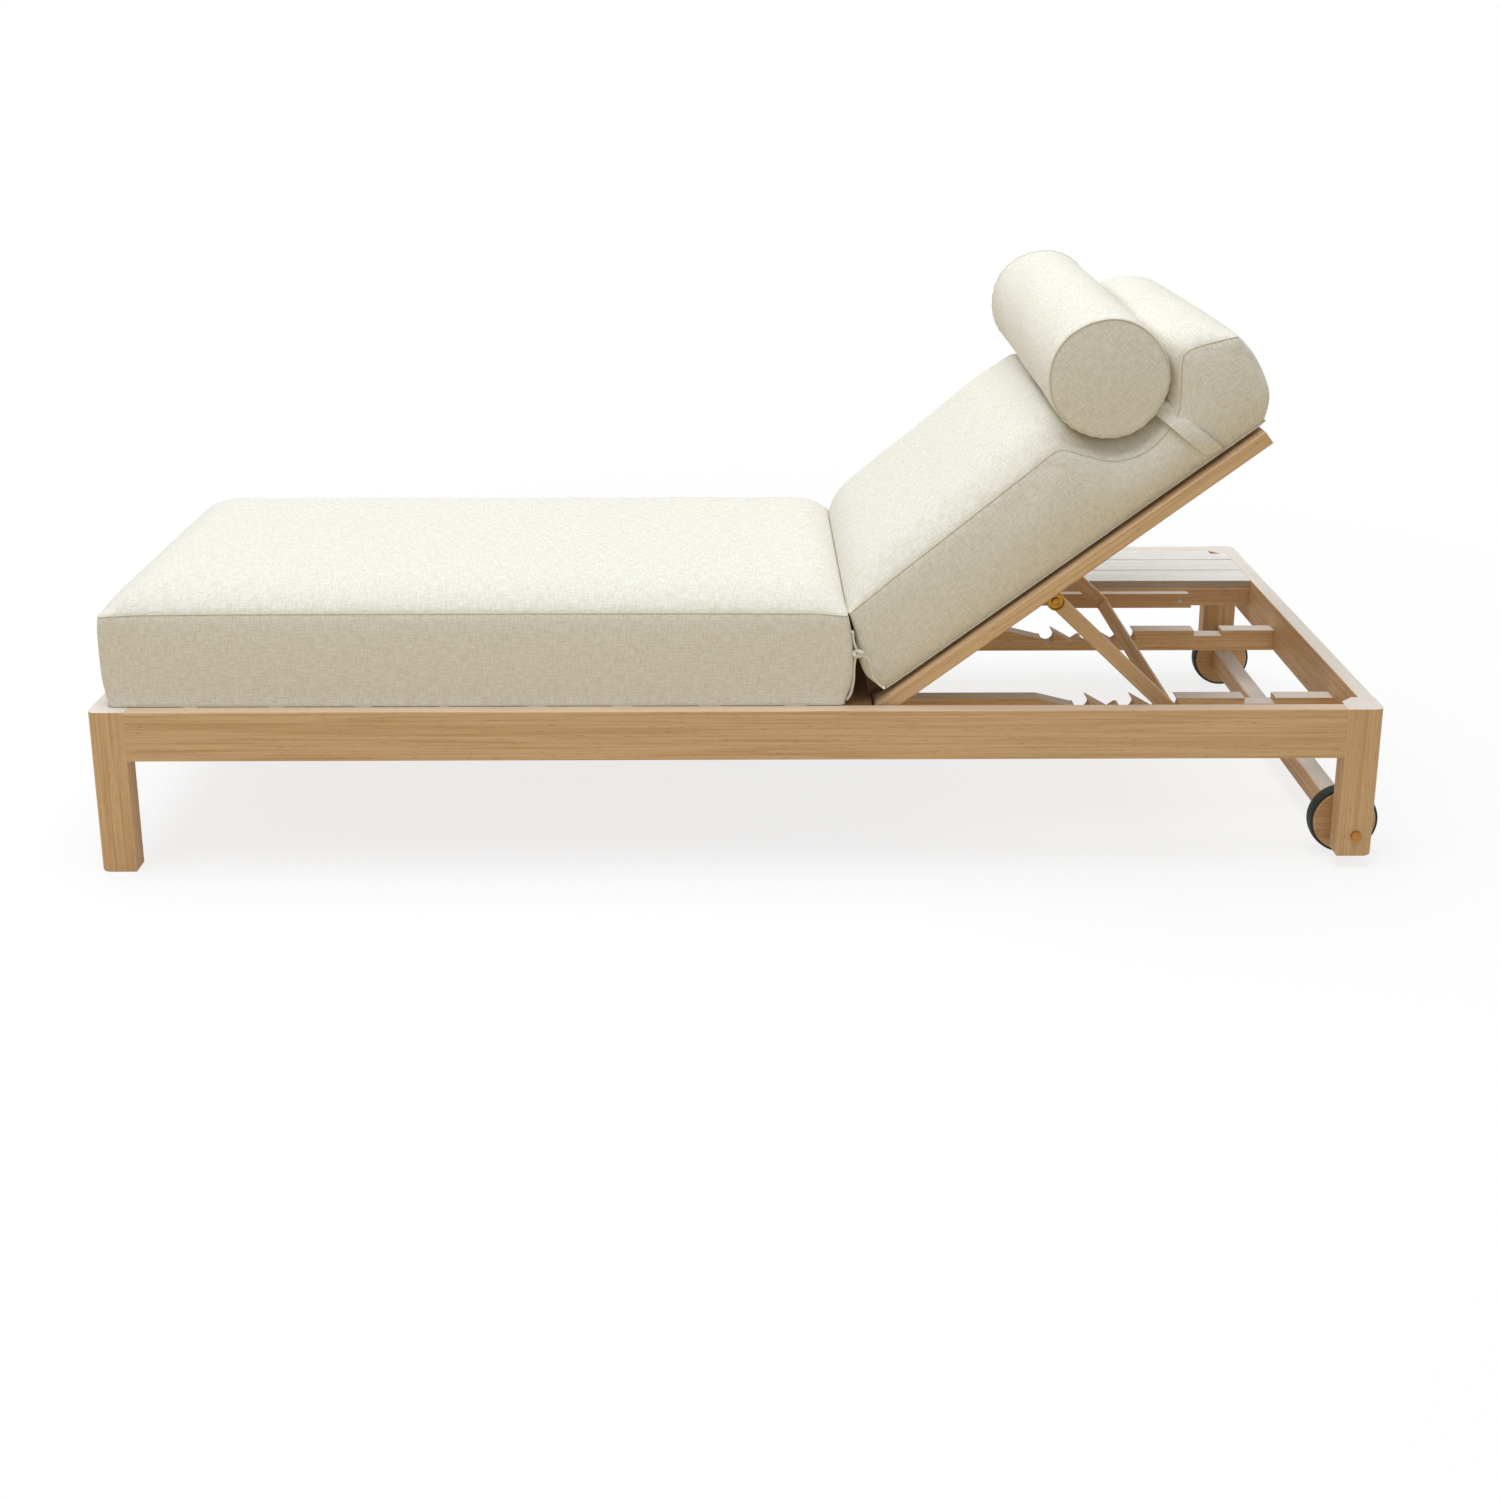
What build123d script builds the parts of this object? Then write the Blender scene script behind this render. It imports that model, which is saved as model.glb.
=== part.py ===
from build123d import *
import math
import os

# Chaise lounger of hardwood: a slatted frame with a shelf along its far side, a backrest that
# reclines on a notched prop, two wheels at the head end, two thick cushions and a neck bolster.
# Millimetres. +Z is up, +X runs from the foot to the head and +Y from the near to the shelf side.
# The origin is on the floor, under the middle of the whole length and width.

# Frame
frame_length = 2000.0
frame_width = 950.0
frame_height = 266.0
rail_height = 80.5
rail_thick = 26.0
leg_length = 57.0
leg_width = 56.0
leg_corner_radius = 14.0
leg_inner_chamfer = 20.0
leg_foot_chamfer = 2.0
head_leg_lift = 20.0
tenon_length = 22.0
tenon_thick = 10.0
tenon_height = 50.0
joint_gap = 0.2
edge_ease = 2.0
overrun = 5.0
running_gap = 0.3
soft_gap = 0.3

# Wheels and their stretcher
wheel_radius = 55.0
wheel_width = 28.0
wheel_leg_gap = 2.0
tyre_thick = 5.0
tyre_crown = 1.2
wheel_edge_ease = 2.5
stretcher_size = 38.0
stretcher_edge_radius = 7.0
axle_radius = 6.0
axle_head_radius = 9.0
axle_head_thick = 4.0
axle_bite = 60.0
axle_washer_radius = 13.0

# Bay of the cushions and the slatted shelf beside it
bay_width = 680.0
bay_clear = 1.0
shelf_slat_count = 3
shelf_slat_thick = 15.0
shelf_slat_gap = 3.5
shelf_rail_thick = 26.0
shelf_rail_height = 35.0
shelf_cleat_thick = 20.0
shelf_cleat_height = 30.0
shelf_bearer_width = 30.0
shelf_bearer_height = 30.0
shelf_bearer_shares = (0.12, 0.36, 0.84)

# Seat deck under the long cushion
seat_slat_count = 9
seat_slat_thick = 18.0
seat_slat_gap = 34.0
seat_bearer_thick = 20.0
seat_bearer_height = 28.0
cross_rail_thick = 26.0
cross_rail_height = 50.5
seat_cross_share = 0.45

# Backrest: its hinge, its frame of flat boards and its slats
hinge_from_head = 775.5
hinge_below_top = 9.5
hinge_bolt_radius = 4.0
hinge_head_radius = 7.0
hinge_head_thick = 5.0
hinge_block_thick = 20.0
hinge_block_radius = 14.0
backrest_angle = 37.0
backrest_reach = 717.0
backrest_thick = 22.0
backrest_board = 45.0
backrest_side_gap = 3.0
backrest_slat_count = 7
backrest_slat_width = 52.0
backrest_slat_thick = 11.0
backrest_slat_bite = 12.0
first_slat_from_hinge = 28.0
raise_angle = 15.7

# Prop that holds the backrest up
pivot_from_hinge = 314.0
pivot_below_axis = 33.3
prop_rail_width = 60.0
arm_angle = 43.8
arm_length = 265.0
arm_width = 23.0
arm_thick = 22.0
arm_from_bay_side = 50.0
ear_thick = 20.0
ear_radius = 13.0
pivot_bolt_radius = 4.0
pivot_disc_radius = 14.5
pivot_disc_thick = 3.0
pivot_head_radius = 6.5
pivot_head_thick = 3.0
crossbar_thick = 20.0
crossbar_width = 23.0
crossbar_tenon = 12.0
crossbar_tenon_size = 10.0

# Notched rails under the prop
ratchet_offset = 179.0
ratchet_thick = 30.0
ratchet_height = 37.5
hook_count = 3
hook_pitch = 73.5
last_hook_from_head = 282.0
hook_notch_radius = 12.5
hook_notch_back = 7.0
hook_notch_drop = 12.0
hook_bump_back = 24.0
hook_bump_drop = 14.0
hook_ramp_run = 38.0
hook_ramp_drop = 22.0
ratchet_slope_run = 56.0
flat_notch_from_head = 171.0
flat_notch_length = 51.0
flat_notch_depth = 10.0

# Battens that the flat backrest rests on, and their screws
batten_thick = 18.0
batten_height = 28.0
batten_length = 260.0
batten_from_head = 140.0
batten_end_radius = 10.0
screw_head_radius = 4.0
screw_radius = 2.2
screw_length = 26.0
screw_head_thick = 2.5
screw_inset = 22.0

# Cushions
cushion_side_gap = 12.0
cushion_seam_height = 149.0
cushion_crown = 16.0
cushion_edge_run = 46.0
cushion_side_bulge = 3.0
cushion_draw_in = 6.0
cushion_base_radius = 16.0
cushion_end_radius = 18.0
seat_cushion_from_foot = 24.0
seat_cushion_to_hinge = 75.5
back_cushion_start = 20.0
back_cushion_reach = 767.0
back_cushion_seam = 144.0
back_cushion_rise = 26.0
back_cushion_head_radius = 36.0
middle_station_shares = (0.25, 0.5, 0.75)
end_station_shares = (0.0, 0.3, 1.0)
edge_crown_share = 0.55
shoulder_crown_share = 0.85
edge_run_share = 0.45
end_crown_share = 0.4

# Bolster across the head of the back cushion, and the straps that hold it
bolster_radius = 90.5
bolster_from_hinge = 575.0
bolster_above_axis = 216.0
bolster_end_dome = 7.0
bolster_edge_radius = 9.0
strap_width = 24.0
strap_thick = 2.0
strap_top_from_hinge = 613.0
strap_top_above_axis = 140.0
strap_foot_from_hinge = 646.0

# Places that follow from the sizes above
wheel_inset = leg_length / 2
wheel_overhang = wheel_radius - wheel_inset
foot_x = -(frame_length + wheel_overhang) / 2
head_x = foot_x + frame_length
near_y = -frame_width / 2
middle_x = (foot_x + head_x) / 2
rail_bottom = frame_height - rail_height
inner_foot_x = foot_x + rail_thick
inner_head_x = head_x - rail_thick
bay_near = near_y + rail_thick
bay_far = bay_near + bay_width
bay_middle = (bay_near + bay_far) / 2
shelf_end = -near_y - rail_thick
slat_underside = frame_height - shelf_slat_thick
axle_x = head_x - wheel_inset
axle_z = wheel_radius
wheel_face = near_y + leg_width + wheel_leg_gap
hinge_x = head_x - hinge_from_head
hinge_z = frame_height - hinge_below_top
half_back = backrest_thick / 2
cross_top = rail_bottom + cross_rail_height
back_rail_near = bay_near + backrest_side_gap
back_rail_far = bay_far - backrest_side_gap
arm_near = bay_near + arm_from_bay_side
arm_far = bay_far - arm_from_bay_side
ratchet_top = rail_bottom + ratchet_height
batten_top = hinge_z - half_back - running_gap
cushion_width = bay_width - 2 * cushion_side_gap
cushion_base = frame_height + soft_gap
seat_cushion_start = foot_x + seat_cushion_from_foot
seat_cushion_end = hinge_x - seat_cushion_to_hinge
seat_cushion_length = seat_cushion_end - seat_cushion_start
back_base = half_back + soft_gap
steepest_angle = backrest_angle + raise_angle
lean = math.radians(backrest_angle)
pivot_x = hinge_x + pivot_from_hinge * math.cos(lean) + pivot_below_axis * math.sin(lean)
pivot_z = hinge_z + pivot_from_hinge * math.sin(lean) - pivot_below_axis * math.cos(lean)
reclined = Pos(hinge_x, 0, hinge_z) * Rot(0, -backrest_angle, 0)
propped = Pos(pivot_x, 0, pivot_z) * Rot(0, arm_angle, 0)


def block(x, y, z):
    """A plain block between two values on each axis."""
    middle = Pos((x[0] + x[1]) / 2, (y[0] + y[1]) / 2, (z[0] + z[1]) / 2)
    return middle * Box(x[1] - x[0], y[1] - y[0], z[1] - z[0])


def board(x, y, z, along):
    """A block whose four edges along the grain are eased."""
    solid = block(x, y, z)
    return fillet(solid.edges().filter_by(along), edge_ease)


def upright(profile, y):
    """Gives a profile drawn as (x, z) its thickness between two values of y."""
    return Pos(0, y[1], 0) * Rot(90, 0, 0) * extrude(profile, y[1] - y[0])


def rod_y(radius, x, y, z):
    """A round rod along Y between two values of y."""
    return Pos(x, (y[0] + y[1]) / 2, z) * Rot(90, 0, 0) * Cylinder(radius, y[1] - y[0])


def far_side(solid):
    """The twin of a near piece, on the far side of the whole frame."""
    return mirror(solid, about=Plane.XZ)


def bay_twin(solid):
    """The twin of a near piece, on the far side of the bay."""
    return mirror(solid, about=Plane.XZ.offset(-bay_middle))


def side_tenon(gap):
    """Tenon of the near side rail in the near foot leg, or its mortise when gap is given."""
    x = (foot_x + leg_length - tenon_length - gap, foot_x + leg_length + gap)
    centre_y = near_y + rail_thick / 2
    y = (centre_y - tenon_thick / 2 - gap, centre_y + tenon_thick / 2 + gap)
    return block(x, y, tenon_span(gap))


def end_tenon(gap):
    """Tenon of the foot rail in the near foot leg, or its mortise when gap is given."""
    centre_x = foot_x + rail_thick / 2
    x = (centre_x - tenon_thick / 2 - gap, centre_x + tenon_thick / 2 + gap)
    y = (near_y + leg_width - tenon_length - gap, near_y + leg_width + gap)
    return block(x, y, tenon_span(gap))


def tenon_span(gap):
    """Height of a rail's tenon, in the middle of the rail."""
    middle = frame_height - rail_height / 2
    return (middle - tenon_height / 2 - gap, middle + tenon_height / 2 + gap)


def head_end(solid):
    """The twin of a piece at the foot, at the head of the frame."""
    return mirror(solid, about=Plane.YZ.offset(middle_x))


def near_side_rail():
    """Long rail between the near legs, flush with their outer faces and tops."""
    x = (foot_x + leg_length, head_x - leg_length)
    rail = board(x, (near_y, bay_near), (rail_bottom, frame_height), Axis.X)
    return rail + side_tenon(0) + head_end(side_tenon(0))


def foot_rail():
    """Cross rail between the foot legs."""
    y = (near_y + leg_width, -near_y - leg_width)
    rail = board((foot_x, inner_foot_x), y, (rail_bottom, frame_height), Axis.Y)
    return rail + end_tenon(0) + far_side(end_tenon(0))


def near_leg(bottom):
    """Near leg at the foot: round outer corner, chamfered inner corner, two mortises."""
    outline = Pos(leg_length / 2, leg_width / 2) * Rectangle(leg_length, leg_width)
    outline = fillet(outline.vertices().sort_by_distance((0, 0, 0))[0], leg_corner_radius)
    inner = outline.vertices().sort_by_distance((leg_length, leg_width, 0))[0]
    outline = chamfer(inner, leg_inner_chamfer)
    leg = Pos(foot_x, near_y, bottom) * extrude(outline, frame_height - bottom)
    leg = chamfer(leg.faces().sort_by(Axis.Z)[0].edges(), leg_foot_chamfer)
    return leg - side_tenon(joint_gap) - end_tenon(joint_gap)


def near_head_leg():
    """Near leg at the head, clear of the floor and bored for the axle bolt."""
    leg = head_end(near_leg(head_leg_lift))
    bore = rod_y(axle_radius + joint_gap, axle_x, (near_y - overrun, near_y + leg_width + overrun), axle_z)
    return leg - bore


def shelf_rail():
    """Rail that carries the near edge of the shelf, over the cross rails."""
    y = (bay_far, bay_far + shelf_rail_thick)
    z = (slat_underside - shelf_rail_height, slat_underside)
    return board((inner_foot_x, inner_head_x), y, z, Axis.X)


def shelf_cleat():
    """Ledge on the far side rail, under the far edge of the shelf."""
    y = (shelf_end - shelf_cleat_thick, shelf_end)
    z = (slat_underside - shelf_cleat_height, slat_underside)
    return board((foot_x + leg_length, head_x - leg_length), y, z, Axis.X)


def shelf_bearer(number):
    """Short cross bearer under the shelf slats, between the shelf rail and the cleat."""
    centre = inner_foot_x + shelf_bearer_shares[number] * (inner_head_x - inner_foot_x)
    x = (centre - shelf_bearer_width / 2, centre + shelf_bearer_width / 2)
    y = (bay_far + shelf_rail_thick, shelf_end - shelf_cleat_thick)
    return board(x, y, (slat_underside - shelf_bearer_height, slat_underside), Axis.Y)


def shelf_slat(number):
    """Long slat of the shelf. The far one is notched round both far legs."""
    pitch = (shelf_end - bay_far + shelf_slat_gap) / shelf_slat_count
    y_low = bay_far + number * pitch
    y = (y_low, y_low + pitch - shelf_slat_gap)
    slat = board((inner_foot_x, inner_head_x), y, (slat_underside, frame_height), Axis.X)
    y_leg = (-near_y - leg_width - joint_gap, -near_y)
    x_leg = (foot_x, foot_x + leg_length + joint_gap)
    corner = block(x_leg, y_leg, (slat_underside - overrun, frame_height + overrun))
    return slat - corner - head_end(corner)


def cross_rail(centre):
    """Rail across the whole frame, notched on top for the shelf rail."""
    x = (centre - cross_rail_thick / 2, centre + cross_rail_thick / 2)
    rail = board(x, (bay_near, shelf_end), (rail_bottom, cross_top), Axis.Y)
    y = (bay_far, shelf_end)
    notch_bottom = slat_underside - shelf_rail_height
    return rail - block((x[0] - overrun, x[1] + overrun), y, (notch_bottom, cross_top + overrun))


def near_seat_bearer():
    """Ledge inside the near side rail that the seat slats lie on."""
    x = (inner_foot_x, hinge_x - cross_rail_thick / 2)
    z_high = frame_height - seat_slat_thick
    bearer = board(x, (bay_near, bay_near + seat_bearer_thick), (z_high - seat_bearer_height, z_high), Axis.X)
    y_leg = (near_y, near_y + leg_width + joint_gap)
    leg_room = block((foot_x, foot_x + leg_length + joint_gap), y_leg, (rail_bottom, frame_height))
    housing = block(seat_cross_span(), (bay_near, bay_far), (rail_bottom, cross_top))
    return bearer - leg_room - housing


def far_seat_bearer():
    """Ledge on the shelf rail that the far ends of the seat slats lie on."""
    x = (inner_foot_x, hinge_x - cross_rail_thick / 2)
    z_high = frame_height - seat_slat_thick
    y = (bay_far - seat_bearer_thick, bay_far)
    bearer = board(x, y, (z_high - seat_bearer_height, z_high), Axis.X)
    return bearer - block(seat_cross_span(), (bay_near, bay_far), (rail_bottom, cross_top))


def seat_cross_span():
    """Length of frame that the middle cross rail takes up."""
    centre = foot_x + seat_cross_share * (hinge_x - foot_x)
    return (centre - cross_rail_thick / 2, centre + cross_rail_thick / 2)


def seat_slat(number):
    """Slat across the bay. The first is notched round the near foot leg."""
    x_first = inner_foot_x + bay_clear
    x_last = hinge_x - hinge_block_radius - bay_clear
    pitch = (x_last - x_first + seat_slat_gap) / seat_slat_count
    x_low = x_first + number * pitch
    x = (x_low, x_low + pitch - seat_slat_gap)
    y = (bay_near + bay_clear, bay_far - bay_clear)
    slat = board(x, y, (frame_height - seat_slat_thick, frame_height), Axis.Y)
    y_leg = (near_y, near_y + leg_width + bay_clear)
    leg_room = block((foot_x, foot_x + leg_length + bay_clear), y_leg, (rail_bottom, frame_height + overrun))
    return slat - leg_room


def ratchet_outline():
    """Side of a notched rail: a long flat, hooked notches and a shallow notch for the flat position."""
    tips = [head_x - last_hook_from_head - (hook_count - 1 - i) * hook_pitch for i in range(hook_count)]
    points = [(hinge_x + cross_rail_thick / 2, rail_bottom)]
    points.append((points[0][0], ratchet_top))
    points.append((tips[0] - hook_bump_back - ratchet_slope_run, ratchet_top))
    for i, tip in enumerate(tips):
        points.append((tip - hook_bump_back, ratchet_top - hook_bump_drop))
        points.append((tip, ratchet_top - hook_bump_drop))
        points.append((tip, ratchet_top))
        if i < hook_count - 1:
            points.append((tip + hook_ramp_run, ratchet_top - hook_ramp_drop))
    notch_start = head_x - flat_notch_from_head
    points.append((notch_start, ratchet_top))
    points.append((notch_start, ratchet_top - flat_notch_depth))
    points.append((notch_start + flat_notch_length, ratchet_top - flat_notch_depth))
    points.append((notch_start + flat_notch_length, ratchet_top))
    points.append((inner_head_x, ratchet_top))
    points.append((inner_head_x, rail_bottom))
    outline = make_face(Polyline(*points, close=True))
    for tip in tips:
        centre = Pos(tip - hook_notch_back, ratchet_top - hook_notch_drop)
        outline -= centre * Circle(hook_notch_radius)
    return outline


def near_ratchet_rail():
    """Notched rail from the hinge cross rail to the head rail."""
    low = bay_middle - ratchet_offset - ratchet_thick / 2
    return upright(ratchet_outline(), (low, low + ratchet_thick))


def screw_places():
    """Places along a batten of its two screws."""
    start = head_x - batten_from_head - batten_length
    return (start + screw_inset, start + batten_length - screw_inset)


def near_rest_batten():
    """Batten on the near side rail that the flat backrest rests on."""
    middle = head_x - batten_from_head - batten_length / 2
    outline = Pos(middle, batten_top - batten_height / 2) * Rectangle(batten_length, batten_height)
    outline = fillet(outline.vertices().sort_by(Axis.X)[-2:].sort_by(Axis.Y)[-1], batten_end_radius)
    batten = upright(outline, (bay_near, bay_near + batten_thick))
    for place in screw_places():
        batten -= near_screw(place, joint_gap)
    return batten


def near_screw(place, gap):
    """Flat-headed screw through the near batten, or its hole when gap is given."""
    face = bay_near + batten_thick
    z = batten_top - batten_height / 2
    head = rod_y(screw_head_radius + gap, place, (face - screw_head_thick, face + gap), z)
    shank = rod_y(screw_radius + gap, place, (face - screw_length, face - screw_head_thick), z)
    return head + shank


def batten_screws():
    """The four screws of the battens, each cut off at the batten's back."""
    behind = block((foot_x, head_x), (near_y, bay_near), (0, frame_height))
    near = [near_screw(place, 0) - behind for place in screw_places()]
    return near + [bay_twin(screw) for screw in near]


def near_hinge_block():
    """Ear on the hinge cross rail that carries one end of the backrest."""
    outline = Pos(hinge_x, hinge_z) * Circle(hinge_block_radius)
    height = hinge_z - cross_top
    stem = Pos(hinge_x, cross_top + height / 2) * Rectangle(2 * hinge_block_radius, height)
    outline = outline + stem
    outline -= Pos(hinge_x, hinge_z) * Circle(hinge_bolt_radius + joint_gap)
    low = back_rail_near + backrest_board + running_gap
    return upright(outline, (low, low + hinge_block_thick))


def hinge_bolts():
    """Two bolts, each through an ear and the foot of a backrest rail."""
    low = back_rail_near
    high = back_rail_near + backrest_board + running_gap + hinge_block_thick
    shank = rod_y(hinge_bolt_radius, hinge_x, (low, high), hinge_z)
    head = rod_y(hinge_head_radius, hinge_x, (high, high + hinge_head_thick), hinge_z)
    near = shank + head
    return [near, bay_twin(near)]


def wheel_stretcher():
    """Square rail with round edges between the wheels, on their axis."""
    inner = wheel_face + wheel_width + wheel_leg_gap
    half = stretcher_size / 2
    solid = block((axle_x - half, axle_x + half), (inner, -inner), (axle_z - half, axle_z + half))
    solid = fillet(solid.edges().filter_by(Axis.Y), stretcher_edge_radius)
    bore = rod_y(axle_radius + joint_gap, axle_x, (inner - overrun, inner + axle_bite), axle_z)
    return solid - bore - far_side(bore)


def axle_bolts():
    """Two bolts from the outer face of a head leg through its wheel into the stretcher."""
    inner = wheel_face + wheel_width + wheel_leg_gap
    shank = rod_y(axle_radius, axle_x, (near_y, inner + axle_bite - joint_gap), axle_z)
    hexagon = Pos(axle_x, axle_z) * RegularPolygon(axle_head_radius, 6)
    near = shank + upright(hexagon, (near_y - axle_head_thick, near_y))
    return [near, far_side(near)]


def axle_washers():
    """Washers on both sides of each wheel, fixed against the leg and the stretcher."""
    outer_face = near_y + leg_width
    inner_face = wheel_face + wheel_width + wheel_leg_gap
    thick = wheel_leg_gap - running_gap
    near = []
    for y in ((outer_face, outer_face + thick), (inner_face - thick, inner_face)):
        ring = rod_y(axle_washer_radius, axle_x, y, axle_z)
        near.append(ring - rod_y(axle_radius + joint_gap, axle_x, (y[0] - overrun, y[1] + overrun), axle_z))
    return near + [far_side(ring) for ring in near]


def near_wheel():
    """Turned wooden disc of the near wheel."""
    y = (wheel_face, wheel_face + wheel_width)
    disc = rod_y(wheel_radius - tyre_thick, axle_x, y, axle_z)
    disc = fillet(disc.edges().filter_by(GeomType.CIRCLE), wheel_edge_ease)
    return disc - rod_y(axle_radius + running_gap, axle_x, (y[0] - overrun, y[1] + overrun), axle_z)


def near_tyre():
    """Rubber band round the wheel, slightly crowned."""
    inner = wheel_radius - tyre_thick
    edge = inner + tyre_thick - tyre_crown
    half = wheel_width / 2 - wheel_edge_ease
    lines = [
        Line((inner, -half), (edge, -half)),
        ThreePointArc((edge, -half), (wheel_radius, 0), (edge, half)),
        Line((edge, half), (inner, half)),
        Line((inner, half), (inner, -half)),
    ]
    ring = revolve(make_face(lines), Axis.Y)
    return Pos(axle_x, wheel_face + wheel_width / 2, axle_z) * ring


def slat_places():
    """Distances from the hinge to the middles of the backrest slats and of the prop rail."""
    start = first_slat_from_hinge + backrest_slat_width / 2
    end = backrest_reach - backrest_board - first_slat_from_hinge / 2 - backrest_slat_width / 2
    pitch = (end - start) / (backrest_slat_count - 1)
    return [start + i * pitch for i in range(backrest_slat_count)]


def slat_body(place, gap):
    """One backrest slat with its ends in the side rails, or its housing when gap is given."""
    half = backrest_slat_width / 2 + gap
    y = (back_rail_near + backrest_board - backrest_slat_bite - gap,
         back_rail_far - backrest_board + backrest_slat_bite + gap)
    z = (half_back - backrest_slat_thick - gap, half_back)
    return block((place - half, place + half), y, z)


def prop_rail_body(gap):
    """Thick cross rail of the backrest above the prop, or its housing when gap is given."""
    half = prop_rail_width / 2 + gap
    y = (back_rail_near + backrest_board, back_rail_far - backrest_board)
    rail = block((pivot_from_hinge - half, pivot_from_hinge + half), y, (-half_back, half_back))
    return rail + rail_tenon(pivot_from_hinge, prop_rail_width, gap)


def head_rail_body(gap):
    """Top rail of the backrest frame, or its housing when gap is given."""
    x = (backrest_reach - backrest_board, backrest_reach)
    y = (back_rail_near + backrest_board, back_rail_far - backrest_board)
    rail = board(x, y, (-half_back, half_back), Axis.Y)
    return rail + rail_tenon(backrest_reach - backrest_board / 2, backrest_board, gap)


def rail_tenon(place, width, gap):
    """Tenons at both ends of a backrest cross rail: half its width and half its thickness."""
    half = width / 4 + gap
    y = (back_rail_near + backrest_board - tenon_length - gap,
         back_rail_far - backrest_board + tenon_length + gap)
    return block((place - half, place + half), y, (-half_back / 2 - gap, half_back / 2 + gap))


def slats_kept():
    """Places of the slats that stay clear of the prop rail."""
    room = (prop_rail_width + backrest_slat_width) / 2
    return [place for place in slat_places() if abs(place - pivot_from_hinge) > room]


def near_backrest_rail():
    """Flat side rail of the backrest, round at its foot, bored for the hinge bolt."""
    y = (back_rail_near, back_rail_near + backrest_board)
    rail = board((0, backrest_reach), y, (-half_back, half_back), Axis.X)
    rail += rod_y(half_back, 0, y, 0)
    rail -= rod_y(hinge_bolt_radius + running_gap, 0, (y[0] - overrun, y[1] + overrun), 0)
    for place in slats_kept():
        rail -= slat_body(place, joint_gap)
    rail -= rail_tenon(pivot_from_hinge, prop_rail_width, joint_gap)
    rail -= rail_tenon(backrest_reach - backrest_board / 2, backrest_board, joint_gap)
    return rail


def near_prop_ear():
    """Ear under the prop rail that carries an arm of the prop."""
    outline = Pos(pivot_from_hinge, -pivot_below_axis) * Circle(ear_radius)
    tip_line = make_face(Polyline(
        (pivot_from_hinge - prop_rail_width / 2, -half_back),
        (pivot_from_hinge - ear_radius, -pivot_below_axis),
        (pivot_from_hinge + ear_radius, -pivot_below_axis),
        (pivot_from_hinge + prop_rail_width / 2, -half_back),
        close=True))
    outline = outline + tip_line
    outline -= Pos(pivot_from_hinge, -pivot_below_axis) * Circle(pivot_bolt_radius + joint_gap)
    low = arm_near + arm_thick + running_gap
    return upright(outline, (low, low + ear_thick))


def prop_pivot_bolts():
    """Two bolts with wide brass discs, each through an arm of the prop and its ear."""
    high = arm_near + arm_thick + running_gap + ear_thick
    outer = arm_near - running_gap
    shank = rod_y(pivot_bolt_radius, pivot_from_hinge, (outer, high), -pivot_below_axis)
    disc = rod_y(pivot_disc_radius, pivot_from_hinge, (outer - pivot_disc_thick, outer), -pivot_below_axis)
    disc = fillet(disc.edges().filter_by(GeomType.CIRCLE).sort_by(Axis.Y)[0], pivot_disc_thick / 2)
    head_y = (outer - pivot_disc_thick - pivot_head_thick, outer - pivot_disc_thick)
    hexagon = Pos(pivot_from_hinge, -pivot_below_axis) * RegularPolygon(pivot_head_radius, 6)
    nut = upright(hexagon, (high, high + pivot_head_thick))
    near = shank + disc + upright(hexagon, head_y) + nut
    return [near, bay_twin(near)]


def crossbar_outline():
    """Section of the crossbar along an arm: flat above, round where it drops into a notch."""
    start = arm_length - crossbar_width + crossbar_thick / 2
    length = arm_length - start
    outline = Pos(start + length / 2, 0) * Rectangle(length, crossbar_thick)
    return outline + Pos(arm_length, 0) * Circle(crossbar_thick / 2)


def crossbar_tenons(gap):
    """Square tenons of the crossbar in both arms, or their mortises when gap is given."""
    half = crossbar_tenon_size / 2 + gap
    y = (arm_near + arm_thick - crossbar_tenon - gap, arm_far - arm_thick + crossbar_tenon + gap)
    centre = arm_length - crossbar_width / 4
    return block((centre - half, centre + half), y, (-half, half))


def near_prop_arm():
    """Arm of the prop from its pivot to the crossbar, round at both ends."""
    outline = Pos(arm_length / 2, 0) * SlotCenterToCenter(arm_length, arm_width)
    outline -= Circle(pivot_bolt_radius + running_gap)
    arm = upright(outline, (arm_near, arm_near + arm_thick))
    return arm - crossbar_tenons(joint_gap)


def prop_crossbar():
    """Bar between the arms that drops into the notches of the ratchet rails."""
    bar = upright(crossbar_outline(), (arm_near + arm_thick, arm_far - arm_thick))
    return bar + crossbar_tenons(0)


def cushion_section(half_width, base, seam, crown):
    """Cross-section of a boxed cushion: flat base, swelling sides, seams and a crowned top."""
    radius = cushion_base_radius
    foot = radius * (1 - math.sqrt(0.5))
    side = half_width + cushion_side_bulge
    shoulder = (half_width - cushion_edge_run, seam + shoulder_crown_share * crown)
    edge = (half_width - edge_run_share * cushion_edge_run, seam + edge_crown_share * crown)
    side_middle = (base + radius + seam) / 2
    right = [
        ThreePointArc((half_width - radius, base), (half_width - foot, base + foot),
                      (half_width, base + radius)),
        ThreePointArc((half_width, base + radius), (side, side_middle), (half_width, seam)),
        ThreePointArc((half_width, seam), edge, shoulder),
    ]
    left = [mirror(arc, about=Plane.YZ) for arc in right]
    top = ThreePointArc(shoulder, (0, seam + crown), (-shoulder[0], shoulder[1]))
    bottom = Line((half_width - radius, base), (radius - half_width, base))
    return make_face(right + left + [top, bottom])


def end_inset(distance, radius):
    """How far a rounded end has drawn in at a distance from its tip, as a share of its radius."""
    if distance >= radius:
        return 0
    return 1 - math.sqrt(1 - (1 - distance / radius) ** 2)


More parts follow.
